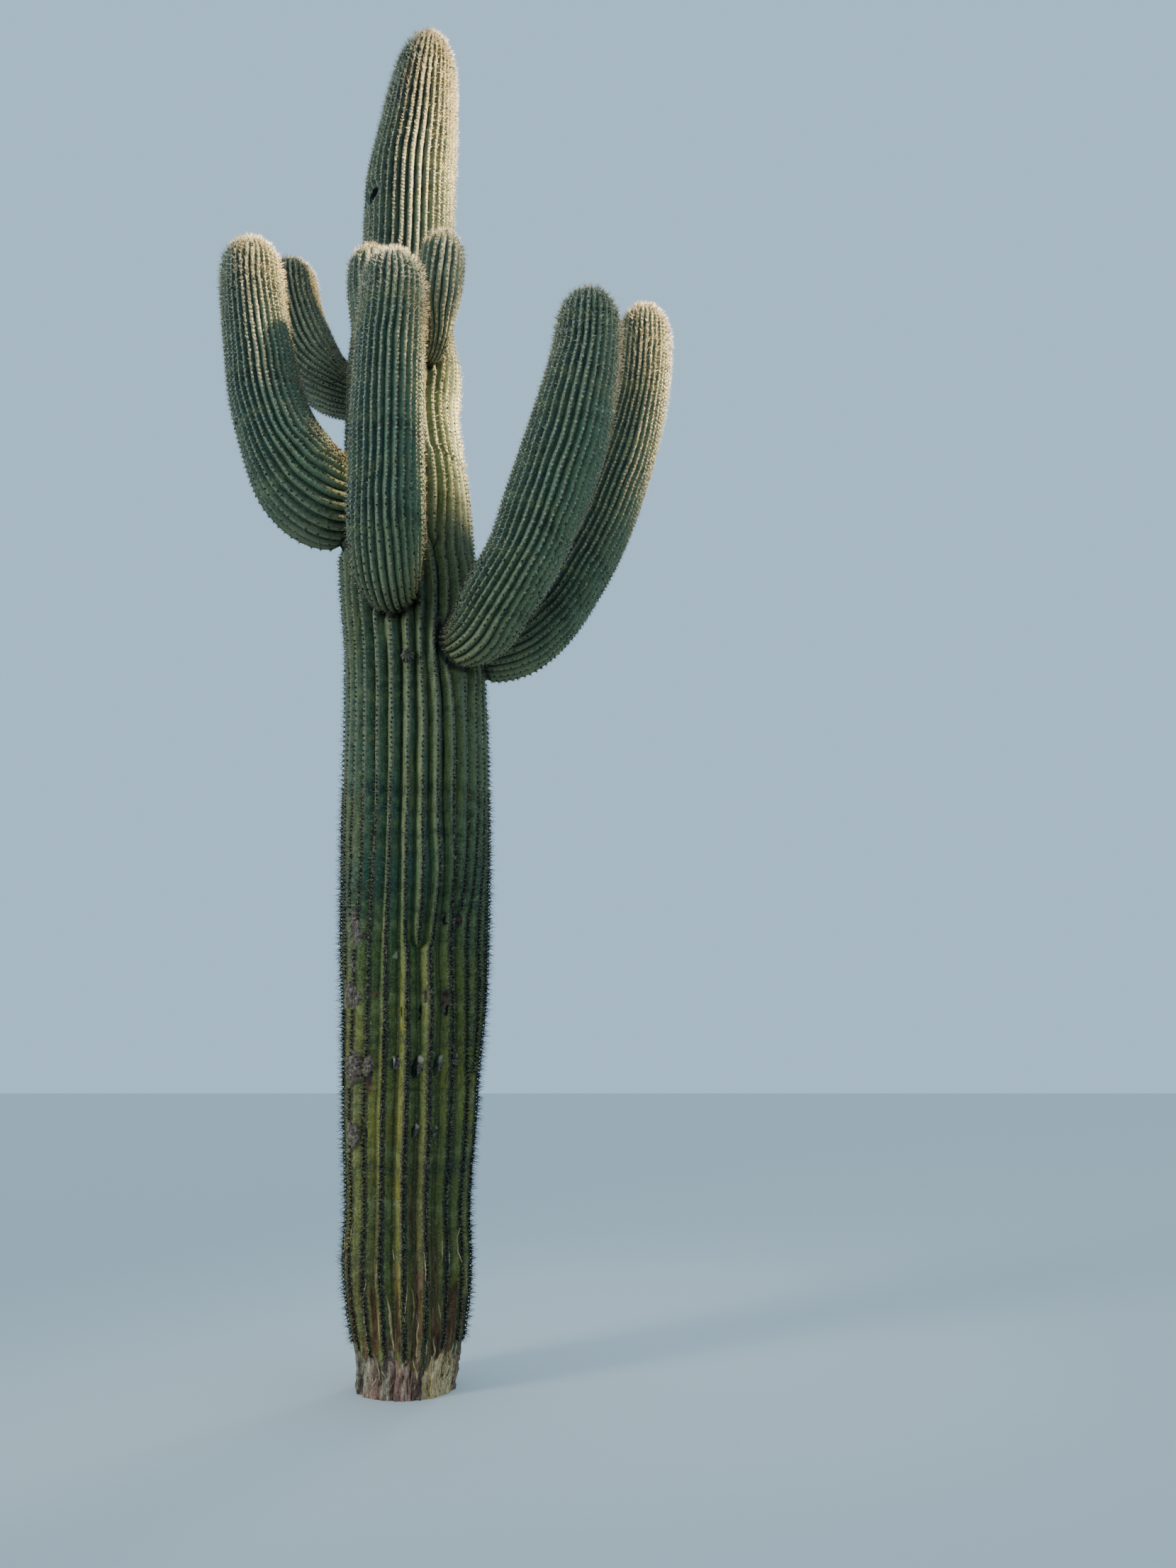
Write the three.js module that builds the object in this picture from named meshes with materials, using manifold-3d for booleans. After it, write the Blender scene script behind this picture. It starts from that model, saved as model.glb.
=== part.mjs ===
// Saguaro cactus: one ribbed trunk with seven ribbed arms, in millimetres, +Z up.
// The origin is the middle of the trunk's flat cut at ground level. Seen from the
// front (from -Y), X runs to the right and Y away from the viewer.
//
// Every limb is a closed lathe grid, two columns to a rib (one on the crest, one in
// the groove), carried along a curve through a few named stations. Arms are cut back
// from the trunk, and an arm that bends round a wide gap is made in two lengths that
// meet at a flat face at its elbow.
import * as THREE from 'three';
import { mergeVertices } from 'three/addons/utils/BufferGeometryUtils.js';
import Module from 'manifold-3d';

const MM = 1000; // stations are in metres
const GAP = 0.34; // mm between an arm and the trunk, and between an arm's two lengths

// ---- trunk ---------------------------------------------------------------
// height, how far the middle has leaned (x), radius over the rib crests (metres)
const TRUNK_LINE = [
  [0.0, 0.0, 0.222], // flat cut at the ground, where the foot spreads a little
  [0.07, 0.003, 0.224],
  [0.15, 0.006, 0.233], // bare corky collar
  [0.27, 0.003, 0.262],
  [0.52, -0.009, 0.29],
  [0.76, -0.015, 0.283],
  [1.08, -0.018, 0.304],
  [1.38, -0.02, 0.319],
  [1.65, -0.017, 0.338],
  [2.02, -0.025, 0.353],
  [2.44, -0.036, 0.36],
  [2.81, -0.044, 0.362],
  [3.18, -0.057, 0.36],
  [3.49, -0.071, 0.365], // widest, under the arms
  [3.76, -0.102, 0.367],
  [4.04, -0.135, 0.352],
  [4.32, -0.149, 0.334],
  [4.6, -0.174, 0.314],
  [4.83, -0.19, 0.3],
  [5.07, -0.188, 0.304],
  [5.31, -0.206, 0.276],
  [5.53, -0.204, 0.259],
  [5.81, -0.198, 0.248],
  [6.08, -0.2, 0.248],
  [6.34, -0.197, 0.244],
  [6.59, -0.176, 0.224],
  [6.85, -0.16, 0.198],
  [7.08, -0.142, 0.171],
  [7.25, -0.128, 0.152],
];
const TRUNK_TIP = [-0.12, 7.34]; // x and height of the highest point
const TRUNK_DOME = 0.3; // length of the rounded end (metres)
const TRUNK_RINGS = 16; // rings between the ground and the rounded end
const BASE_RIBS = 18; // ribs at the foot
const FIRST_GROOVE = 265; // azimuth of the groove before rib 0 (degrees)
// height at which a new rib starts in the groove after a foot rib, by rib number:
// twelve of them, which makes thirty ribs from about the trunk's middle upwards
const RIB_STARTS = {
  0: 1.93, 2: 2.1, 3: 1.35, 5: 1.15, 6: 2.2, 7: 1.75,
  8: 1.6, 9: 2.05, 11: 1.45, 12: 1.85, 13: 1.3, 14: 2.0,
};
const START_RUN = 0.5; // height over which a new rib grows to its full width
const GROOVE = 0.1; // groove depth as a share of the radius
const COLLAR_TOP = 0.3; // grooves die out below this height

// ---- arms ----------------------------------------------------------------
// Stations: azimuth from the trunk's middle (degrees, 0 to the right, 270 to the
// front), reach from the trunk's middle, height, radius over the crests (metres).
// The last station is the arm's highest point. elbow = the station where the arm is
// parted into a lower and an upper length, or null where it is one length.
const ARMS = {
  arm_left_front: {
    ribs: 26, rings: [4, 3], dome: 0.2, elbow: 4,
    line: [
      [197, 0.16, 4.36, 0.13],
      [206, 0.315, 4.25, 0.212],
      [206.5, 0.43, 4.24, 0.252],
      [205.5, 0.54, 4.315, 0.252],
      [205.5, 0.615, 4.435, 0.23],
      [205.5, 0.675, 4.575, 0.203],
      [206, 0.73, 4.76, 0.188],
      [206.5, 0.77, 4.955, 0.176],
      [206, 0.805, 5.195, 0.164],
      [205.5, 0.825, 5.405, 0.156],
      [205, 0.845, 5.65, 0.142],
    ],
  },
  arm_left_back: {
    ribs: 22, rings: [3, 3], dome: 0.18, elbow: 2,
    line: [
      [163, 0.15, 4.96, 0.08],
      [155, 0.335, 5.035, 0.118],
      [153.5, 0.47, 5.135, 0.152],
      [153.5, 0.605, 5.3, 0.168],
      [154, 0.705, 5.495, 0.168],
      [154, 0.8, 5.735, 0.156],
      [154, 0.85, 6.085, 0.13],
    ],
  },
  arm_front: {
    ribs: 26, rings: [8], dome: 0.19, elbow: null,
    line: [
      [257, 0.2, 3.79, 0.09],
      [262.5, 0.4, 3.685, 0.135],
      [265, 0.52, 3.735, 0.168],
      [267, 0.58, 3.885, 0.184],
      [269, 0.61, 4.125, 0.181],
      [270, 0.64, 4.375, 0.176],
      [272, 0.66, 4.61, 0.171],
      [273.5, 0.675, 4.85, 0.164],
      [274, 0.68, 5.085, 0.154],
      [274.5, 0.68, 5.33, 0.142],
    ],
  },
  arm_front_small_left: {
    ribs: 16, rings: [5], dome: 0.15, elbow: null,
    line: [
      [248.5, 0.16, 4.87, 0.06],
      [254, 0.335, 4.91, 0.08],
      [256, 0.4, 5.005, 0.096],
      [256.5, 0.425, 5.175, 0.114],
      [256.5, 0.43, 5.335, 0.121],
      [254.5, 0.435, 5.56, 0.106],
    ],
  },
  arm_front_small_right: {
    ribs: 16, rings: [5], dome: 0.15, elbow: null,
    line: [
      [307.5, 0.17, 5.1, 0.046],
      [305, 0.335, 5.045, 0.05],
      [303.5, 0.405, 5.115, 0.066],
      [302, 0.44, 5.22, 0.096],
      [302.5, 0.465, 5.345, 0.116],
      [303, 0.47, 5.485, 0.118],
      [303, 0.47, 5.665, 0.108],
    ],
  },
  arm_right_front: {
    ribs: 26, rings: [4, 3], dome: 0.2, elbow: 4,
    line: [
      [320, 0.18, 3.53, 0.08],
      [315.5, 0.4, 3.44, 0.13],
      [312.5, 0.56, 3.46, 0.163],
      [312, 0.715, 3.57, 0.173],
      [317, 0.845, 3.765, 0.18],
      [321, 0.955, 4.015, 0.195],
      [324.5, 1.05, 4.315, 0.199],
      [327, 1.12, 4.58, 0.184],
      [328.5, 1.17, 4.815, 0.165],
      [329, 1.195, 5.16, 0.144],
    ],
  },
  arm_right_back: {
    ribs: 24, rings: [4, 3], dome: 0.2, elbow: 4,
    line: [
      [3, 0.16, 3.51, 0.1],
      [4, 0.375, 3.485, 0.148],
      [4, 0.52, 3.54, 0.172],
      [4.5, 0.66, 3.67, 0.184],
      [5.5, 0.825, 3.895, 0.186],
      [6.5, 0.98, 4.15, 0.18],
      [7, 1.11, 4.435, 0.172],
      [7, 1.23, 4.745, 0.164],
      [7, 1.3, 5.06, 0.156],
      [7, 1.345, 5.325, 0.148],
      [7, 1.35, 5.625, 0.132],
    ],
  },
};
const ARM_GROOVE = 0.12; // groove depth as a share of the arm's radius

// A bud of a new arm on a front rib: azimuth, height, radius, how far it stands out.
const BUD = { azimuth: 271, height: 3.335, radius: 0.03, out: 0.026 };

// ---- materials -----------------------------------------------------------
const flesh = (hex) =>
  new THREE.MeshStandardMaterial({ color: hex, roughness: 0.72, metalness: 0 });

// ---- helpers ---------------------------------------------------------------
const smooth = (a, b, x) => {
  const t = Math.min(1, Math.max(0, (x - a) / (b - a)));
  return t * t * (3 - 2 * t);
};

// A value that runs smoothly through the rows of a table, by the table's first column.
function along(table, column, x) {
  const n = table.length;
  if (x <= table[0][0]) return table[0][column];
  if (x >= table[n - 1][0]) return table[n - 1][column];
  let i = 0;
  while (table[i + 1][0] < x) i++;
  const slope = (k) => {
    const a = Math.max(0, k - 1), b = Math.min(n - 1, k + 1);
    return (table[b][column] - table[a][column]) / (table[b][0] - table[a][0]);
  };
  const h = table[i + 1][0] - table[i][0];
  const t = (x - table[i][0]) / h;
  return (
    (2 * t ** 3 - 3 * t ** 2 + 1) * table[i][column] +
    (t ** 3 - 2 * t ** 2 + t) * h * slope(i) +
    (3 * t ** 2 - 2 * t ** 3) * table[i + 1][column] +
    (t ** 3 - t ** 2) * h * slope(i + 1)
  );
}

// A closed lathe grid whose vertices are then placed by put(column, ring). Ring 0 is
// the middle of the lower end and the last ring the middle of the upper end.
function closedGrid(columns, rings, put) {
  const profile = [new THREE.Vector2(0, 0)];
  for (let j = 1; j < rings - 1; j++) profile.push(new THREE.Vector2(1, j));
  profile.push(new THREE.Vector2(0, rings - 1));
  const grid = new THREE.LatheGeometry(profile, columns);
  const position = grid.getAttribute('position');
  for (let i = 0; i <= columns; i++)
    for (let j = 0; j < rings; j++) {
      const p = put(i % columns, j);
      position.setXYZ(i * rings + j, p.x, p.y, p.z);
    }
  grid.deleteAttribute('normal');
  grid.deleteAttribute('uv');
  const shape = mergeVertices(grid, 1e-4);
  // keep the faces that have an area, and turn them outwards
  const at = shape.getAttribute('position').array;
  const index = shape.index.array;
  const kept = [];
  let volume = 0;
  for (let f = 0; f < index.length; f += 3) {
    const [a, b, c] = [index[f], index[f + 1], index[f + 2]];
    if (a === b || b === c || a === c) continue;
    kept.push(a, b, c);
    const [A, B, C] = [a, b, c].map((k) => new THREE.Vector3().fromArray(at, k * 3));
    volume += A.dot(B.cross(C)) / 6;
  }
  if (volume < 0)
    for (let f = 0; f < kept.length; f += 3)
      [kept[f + 1], kept[f + 2]] = [kept[f + 2], kept[f + 1]];
  shape.setIndex(kept);
  return shape;
}

// ---- trunk ---------------------------------------------------------------
const trunkX = (z) => along(TRUNK_LINE, 1, z);

// Angles of the trunk's crests and grooves at a height, each with its share of the
// full groove depth. A new rib starts as a sliver at the bottom of a groove.
function trunkRibs(z) {
  const width = [];
  for (let k = 0; k < BASE_RIBS; k++)
    width.push(
      k in RIB_STARTS
        ? 0.12 + 0.88 * smooth(RIB_STARTS[k] - 0.05, RIB_STARTS[k] + START_RUN, z)
        : 0,
    );
  const whole = BASE_RIBS + width.reduce((a, b) => a + b, 0);
  const turn = (w) => THREE.MathUtils.degToRad(FIRST_GROOVE + (w / whole) * 360);
  const out = [];
  let from = 0;
  for (let k = 0; k < BASE_RIBS; k++) {
    out.push({ angle: turn(from + 0.5), groove: 0 });
    from += 1;
    out.push({ angle: turn(from), groove: 1 });
    if (width[k]) {
      out.push({ angle: turn(from + width[k] / 2), groove: 1 - smooth(0.12, 0.8, width[k]) });
      from += width[k];
      out.push({ angle: turn(from), groove: 1 });
    }
  }
  return out;
}

function trunkShape(grow = 0) {
  const columns = trunkRibs(0).length;
  const domeFrom = TRUNK_TIP[1] - TRUNK_DOME;
  const heights = [0];
  const cuts = [0.15, 0.3, 0.55];
  heights.push(...cuts);
  const body = TRUNK_RINGS - cuts.length;
  for (let k = 1; k <= body; k++)
    heights.push(0.55 + ((domeFrom - 0.55) * k) / body);
  for (const q of [0.32, 0.6, 0.82, 0.95]) heights.push(domeFrom + TRUNK_DOME * q);
  const bottom = grow ? -5 : 0; // a grown copy also clears the flat cut
  return closedGrid(columns, heights.length + 2, (i, j) => {
    if (j === 0) return new THREE.Vector3(TRUNK_LINE[0][1] * MM, 0, bottom);
    if (j === heights.length + 1)
      return new THREE.Vector3(TRUNK_TIP[0] * MM, 0, TRUNK_TIP[1] * MM + grow);
    const z = heights[j - 1];
    const q = Math.max(0, (z - domeFrom) / TRUNK_DOME);
    const crest = along(TRUNK_LINE, 2, z) * Math.sqrt(1 - q ** 2.2);
    const rib = trunkRibs(z)[i];
    const deep = GROOVE * smooth(0.06, COLLAR_TOP + 0.25, z) * (1 - 0.5 * q) + 0.012;
    const r = crest * (1 - deep * rib.groove) * MM + grow;
    const x = z <= TRUNK_LINE.at(-1)[0]
      ? trunkX(z)
      : THREE.MathUtils.lerp(TRUNK_LINE.at(-1)[1], TRUNK_TIP[0],
          (z - TRUNK_LINE.at(-1)[0]) / (TRUNK_TIP[1] - TRUNK_LINE.at(-1)[0]));
    return new THREE.Vector3(
      x * MM + r * Math.cos(rib.angle),
      r * Math.sin(rib.angle),
      z === 0 ? bottom : z * MM,
    );
  });
}

// ---- arms ----------------------------------------------------------------
// The arm's middle line and its radius, both by distance along the line.
function armLine(arm) {
  const points = arm.line.map(([azimuth, reach, height]) => {
    const a = THREE.MathUtils.degToRad(azimuth);
    return new THREE.Vector3(
      (trunkX(height) + reach * Math.cos(a)) * MM,
      reach * Math.sin(a) * MM,
      height * MM,
    );
  });
  const curve = new THREE.CatmullRomCurve3(points, false, 'centripetal');
  curve.arcLengthDivisions = 600;
  const length = curve.getLength();
  const lengths = curve.getLengths();
  const stations = arm.line.map((row, k) => [
    lengths[Math.round((600 * k) / (arm.line.length - 1))],
    row[3] * MM,
  ]);
  const dome = arm.dome * MM;
  const radius = (s) => {
    const q = Math.max(0, (s - (length - dome)) / dome);
    return along(stations, 1, s) * Math.sqrt(Math.max(0, 1 - q ** 2.2));
  };
  return { curve, length, stations, radius, dome };
}

// One length of an arm, from distance s0 to s1 along its line, ends flat except a tip.
function armShape(arm, s0, s1, ringCount) {
  const { curve, length, radius, dome } = armLine(arm);
  const tip = s1 >= length;
  const bodyEnd = tip ? length - dome : s1;
  const stops = [];
  for (let k = 0; k <= ringCount; k++) // closer together near the root of a whole arm
    stops.push(s0 + (bodyEnd - s0) * (k / ringCount) ** (s0 === 0 && tip ? 1.35 : 1));
  if (tip) for (const q of [0.55, 0.88]) stops.push(bodyEnd + dome * q);
  const mean = THREE.MathUtils.degToRad(arm.line[2][0]);
  const side = new THREE.Vector3(-Math.sin(mean), Math.cos(mean), 0);
  const columns = arm.ribs * 2;
  return closedGrid(columns, stops.length + 2, (i, j) => {
    if (j === stops.length + 1 && tip) return curve.getPointAt(1);
    const s = stops[Math.min(Math.max(j - 1, 0), stops.length - 1)];
    const u = Math.min(1, s / length);
    const middle = curve.getPointAt(u);
    if (j === 0 || j === stops.length + 1) return middle;
    const tangent = curve.getTangentAt(u);
    const n = side.clone().addScaledVector(tangent, -side.dot(tangent)).normalize();
    const b = tangent.clone().cross(n);
    const q = Math.max(0, (s - (length - dome)) / dome);
    const deep = i % 2 ? ARM_GROOVE * (1 - 0.5 * q) : 0;
    const r = radius(s) * (1 - deep);
    const a = ((i + 0.5) / columns) * 2 * Math.PI;
    return middle
      .addScaledVector(n, r * Math.cos(a))
      .addScaledVector(b, r * Math.sin(a));
  });
}

// ---- cutting -------------------------------------------------------------
const wasm = await Module();
wasm.setup();

const solid = (geometry) =>
  new wasm.Manifold(
    new wasm.Mesh({
      numProp: 3,
      vertProperties: new Float32Array(geometry.getAttribute('position').array),
      triVerts: new Uint32Array(geometry.index.array),
    }),
  );

function geometryOf(manifold) {
  const mesh = manifold.getMesh();
  const geometry = new THREE.BufferGeometry();
  const flat = new Float32Array((mesh.vertProperties.length / mesh.numProp) * 3);
  for (let v = 0; v < flat.length / 3; v++)
    for (let k = 0; k < 3; k++) flat[v * 3 + k] = mesh.vertProperties[v * mesh.numProp + k];
  geometry.setAttribute('position', new THREE.BufferAttribute(flat, 3));
  geometry.setIndex(new THREE.BufferAttribute(new Uint32Array(mesh.triVerts), 1));
  return geometry;
}

// ---- the cactus ------------------------------------------------------------
const saguaro = new THREE.Group();
const add = (name, geometry, colour) => {
  const mesh = new THREE.Mesh(geometry, flesh(colour));
  mesh.name = name;
  saguaro.add(mesh);
};

add('trunk', trunkShape(), '#5f6a3c');
const trunkGrown = solid(trunkShape(GAP / 0.8));

for (const [name, arm] of Object.entries(ARMS)) {
  const { length, stations } = armLine(arm);
  if (arm.elbow === null) {
    add(name, geometryOf(solid(armShape(arm, 0, length, arm.rings[0])).subtract(trunkGrown)), '#68703f');
    continue;
  }
  const parting = stations[arm.elbow][0];
  const lower = armShape(arm, 0, parting - GAP / 2, arm.rings[0]);
  add(`${name}_lower`, geometryOf(solid(lower).subtract(trunkGrown)), '#646d3e');
  add(`${name}_upper`, armShape(arm, parting + GAP / 2, length, arm.rings[1]), '#68703f');
}

// The bud: a low round knob on the crest of a front rib.
{
  const a = THREE.MathUtils.degToRad(BUD.azimuth);
  const skin = along(TRUNK_LINE, 2, BUD.height);
  const ball = new THREE.SphereGeometry(BUD.radius * MM, 10, 6);
  ball.deleteAttribute('normal');
  ball.deleteAttribute('uv');
  const knob = mergeVertices(ball, 1e-4);
  knob.translate(
    (trunkX(BUD.height) + (skin + BUD.out - BUD.radius) * Math.cos(a)) * MM,
    (skin + BUD.out - BUD.radius) * Math.sin(a) * MM,
    BUD.height * MM,
  );
  add('arm_bud', geometryOf(solid(knob).subtract(trunkGrown)), '#7a7450');
}

export default saguaro;
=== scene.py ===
"""A large saguaro cactus, in metres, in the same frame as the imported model.

The trunk and each arm get a fine ribbed skin that is worked out from the same tables
as their solids, then areoles and spines that stand on its crests.
"""

import math

import bpy
import numpy as np
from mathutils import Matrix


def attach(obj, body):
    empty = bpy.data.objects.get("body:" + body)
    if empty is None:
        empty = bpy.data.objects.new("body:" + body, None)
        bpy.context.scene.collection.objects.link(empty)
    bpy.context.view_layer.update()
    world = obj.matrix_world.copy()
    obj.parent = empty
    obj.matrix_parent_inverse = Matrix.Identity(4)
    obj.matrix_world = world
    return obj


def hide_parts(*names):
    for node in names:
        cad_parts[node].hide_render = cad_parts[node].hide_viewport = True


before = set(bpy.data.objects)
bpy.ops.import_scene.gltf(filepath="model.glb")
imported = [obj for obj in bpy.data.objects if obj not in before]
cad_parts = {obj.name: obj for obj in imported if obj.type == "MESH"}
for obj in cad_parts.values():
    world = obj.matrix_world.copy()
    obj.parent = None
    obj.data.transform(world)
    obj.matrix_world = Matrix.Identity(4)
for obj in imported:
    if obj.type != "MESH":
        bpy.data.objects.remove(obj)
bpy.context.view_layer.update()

TAU = 2 * math.pi

# ---- the same tables as the solids ------------------------------------------
# trunk: height, middle's x, radius over the crests
TRUNK_LINE = [
    [0.0, 0.0, 0.222], [0.07, 0.003, 0.224], [0.15, 0.006, 0.233],
    [0.27, 0.003, 0.262], [0.52, -0.009, 0.29], [0.76, -0.015, 0.283],
    [1.08, -0.018, 0.304], [1.38, -0.02, 0.319], [1.65, -0.017, 0.338],
    [2.02, -0.025, 0.353], [2.44, -0.036, 0.36], [2.81, -0.044, 0.362],
    [3.18, -0.057, 0.36], [3.49, -0.071, 0.365], [3.76, -0.102, 0.367],
    [4.04, -0.135, 0.352], [4.32, -0.149, 0.334], [4.6, -0.174, 0.314],
    [4.83, -0.19, 0.3], [5.07, -0.188, 0.304], [5.31, -0.206, 0.276],
    [5.53, -0.204, 0.259], [5.81, -0.198, 0.248], [6.08, -0.2, 0.248],
    [6.34, -0.197, 0.244], [6.59, -0.176, 0.224], [6.85, -0.16, 0.198],
    [7.08, -0.142, 0.171], [7.25, -0.128, 0.152],
]
TRUNK_TIP = (-0.12, 7.34)
TRUNK_DOME = 0.3
BASE_RIBS = 18
FIRST_GROOVE = 265
RIB_STARTS = {
    0: 1.93, 2: 2.1, 3: 1.35, 5: 1.15, 6: 2.2, 7: 1.75,
    8: 1.6, 9: 2.05, 11: 1.45, 12: 1.85, 13: 1.3, 14: 2.0,
}
START_RUN = 0.5
# finer ribs that start among the arms, on the skin only
RIB_STARTS.update({1: 3.95, 4: 4.35, 10: 4.1, 15: 3.85, 17: 4.5})

# arms: azimuth, reach from the trunk's middle, height, radius over the crests
ARMS = {
    "arm_left_front": dict(ribs=26, dome=0.2, line=[
        [197, 0.16, 4.36, 0.13], [206, 0.315, 4.25, 0.212],
        [206.5, 0.43, 4.24, 0.252], [205.5, 0.54, 4.315, 0.252],
        [205.5, 0.615, 4.435, 0.23], [205.5, 0.675, 4.575, 0.203],
        [206, 0.73, 4.76, 0.188], [206.5, 0.77, 4.955, 0.176],
        [206, 0.805, 5.195, 0.164], [205.5, 0.825, 5.405, 0.156],
        [205, 0.845, 5.65, 0.142]]),
    "arm_left_back": dict(ribs=22, dome=0.18, line=[
        [163, 0.15, 4.96, 0.08], [155, 0.335, 5.035, 0.118],
        [153.5, 0.47, 5.135, 0.152], [153.5, 0.605, 5.3, 0.168],
        [154, 0.705, 5.495, 0.168], [154, 0.8, 5.735, 0.156],
        [154, 0.85, 6.085, 0.13]]),
    "arm_front": dict(ribs=26, dome=0.19, line=[
        [257, 0.2, 3.79, 0.09], [262.5, 0.4, 3.685, 0.135],
        [265, 0.52, 3.735, 0.168], [267, 0.58, 3.885, 0.184],
        [269, 0.61, 4.125, 0.181], [270, 0.64, 4.375, 0.176],
        [272, 0.66, 4.61, 0.171], [273.5, 0.675, 4.85, 0.164],
        [274, 0.68, 5.085, 0.154], [274.5, 0.68, 5.33, 0.142]]),
    "arm_front_small_left": dict(ribs=16, dome=0.15, line=[
        [248.5, 0.16, 4.87, 0.06], [254, 0.335, 4.91, 0.08],
        [256, 0.4, 5.005, 0.096], [256.5, 0.425, 5.175, 0.114],
        [256.5, 0.43, 5.335, 0.121], [254.5, 0.435, 5.56, 0.106]]),
    "arm_front_small_right": dict(ribs=16, dome=0.15, line=[
        [307.5, 0.17, 5.1, 0.046], [305, 0.335, 5.045, 0.05],
        [303.5, 0.405, 5.115, 0.066], [302, 0.44, 5.22, 0.096],
        [302.5, 0.465, 5.345, 0.116], [303, 0.47, 5.485, 0.118],
        [303, 0.47, 5.665, 0.108]]),
    "arm_right_front": dict(ribs=26, dome=0.2, line=[
        [320, 0.18, 3.53, 0.08], [315.5, 0.4, 3.44, 0.13],
        [312.5, 0.56, 3.46, 0.163], [312, 0.715, 3.57, 0.173],
        [317, 0.845, 3.765, 0.18], [321, 0.955, 4.015, 0.195],
        [324.5, 1.05, 4.315, 0.199], [327, 1.12, 4.58, 0.184],
        [328.5, 1.17, 4.815, 0.165], [329, 1.195, 5.16, 0.144]]),
    "arm_right_back": dict(ribs=24, dome=0.2, line=[
        [3, 0.16, 3.51, 0.1], [4, 0.375, 3.485, 0.148],
        [4, 0.52, 3.54, 0.172], [4.5, 0.66, 3.67, 0.184],
        [5.5, 0.825, 3.895, 0.186], [6.5, 0.98, 4.15, 0.18],
        [7, 1.11, 4.435, 0.172], [7, 1.23, 4.745, 0.164],
        [7, 1.3, 5.06, 0.156], [7, 1.345, 5.325, 0.148],
        [7, 1.35, 5.625, 0.132]]),
}
# the arms' ribs are finer on the skin than on the solids
for _name, _ribs in {
    "arm_left_front": 32, "arm_left_back": 29, "arm_front": 28, "arm_front_small_left": 18,
    "arm_front_small_right": 18, "arm_right_front": 29, "arm_right_back": 30,
}.items():
    ARMS[_name]["ribs"] = _ribs
ARM_GROOVE = 0.14
ELBOWED = ("arm_left_front", "arm_left_back", "arm_right_front", "arm_right_back")
BUD = dict(azimuth=271, height=3.335, radius=0.03, out=0.026)
# Finely wrinkled skin under the arms: azimuth, height, half width, half height
WRINKLED = [(256, 3.5, 0.06, 0.085), (286, 3.28, 0.05, 0.09), (303, 3.36, 0.05, 0.1), (15, 3.25, 0.08, 0.09)]

# Where each arm meets the trunk: azimuth, height, how far ribs part, how far up and down
FEET = [
    (206, 4.25, 0.12, 0.26), (157, 5.02, 0.07, 0.2), (262, 3.7, 0.05, 0.2),
    (252, 4.9, 0.05, 0.14), (305.5, 5.05, 0.035, 0.1), (316, 3.45, 0.095, 0.22),
    (4, 3.49, 0.1, 0.22),
]

# ---- marks of age on the trunk ------------------------------------------------
# corky knots: azimuth, height, half width, half height (metres), how far it stands out
KNOTS = [
    (216, 1.4, 0.07, 0.075, 0.013), (238.5, 1.405, 0.026, 0.055, 0.006),
    (264.5, 1.42, 0.018, 0.03, 0.003), (215, 1.1, 0.05, 0.062, 0.011),
    (222, 2.02, 0.05, 0.09, 0.004), (208, 1.73, 0.04, 0.06, 0.006),
    (222, 1.72, 0.03, 0.045, 0.004), (303.8, 1.69, 0.017, 0.06, 0.004),
    (297.5, 3.5, 0.022, 0.085, 0.005), (316, 2.07, 0.014, 0.035, 0.003),
    (146, 1.25, 0.04, 0.06, 0.006), (82, 1.5, 0.045, 0.07, 0.006),
    (41, 1.18, 0.03, 0.05, 0.005), (110, 2.6, 0.03, 0.09, 0.004),
    (28, 2.75, 0.025, 0.06, 0.004), (171, 2.3, 0.03, 0.05, 0.005),
    (62, 4.4, 0.03, 0.05, 0.004), (128, 3.4, 0.02, 0.07, 0.004),
    (218, 1.86, 0.035, 0.05, 0.003),
]
# split swellings beside a crest, hollow on their lower left: azimuth, height, half width, half height
LENSES = [
    (283, 1.405, 0.03, 0.055), (301.5, 1.41, 0.026, 0.052), (318.5, 1.43, 0.018, 0.036),
    (282.6, 1.12, 0.018, 0.036), (300.5, 1.115, 0.017, 0.034), (318, 1.11, 0.012, 0.024),
    (262, 1.415, 0.014, 0.028), (62, 1.36, 0.026, 0.05), (101, 1.42, 0.024, 0.045),
    (121, 1.12, 0.02, 0.04), (160, 1.38, 0.026, 0.05),
]
# rust-brown scars: azimuth, height, half width, half height, how far they stand out
RUST = [
    (244, 1.721, 0.01, 0.016, -0.003), (304, 1.69, 0.012, 0.05, -0.003),
    (316, 2.07, 0.011, 0.03, -0.003), (302, 2.06, 0.008, 0.035, -0.003),
    (286.6, 1.715, 0.01, 0.03, -0.003), (303, 5.15, 0.016, 0.05, 0.002),
    (240, 1.33, 0.012, 0.04, -0.002), (278, 6.7, 0.008, 0.02, -0.002),
    (120, 2.0, 0.012, 0.04, -0.003), (60, 1.4, 0.01, 0.05, -0.003),
    (30, 2.3, 0.012, 0.03, -0.003), (172, 3.2, 0.012, 0.03, -0.002),
]
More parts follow.
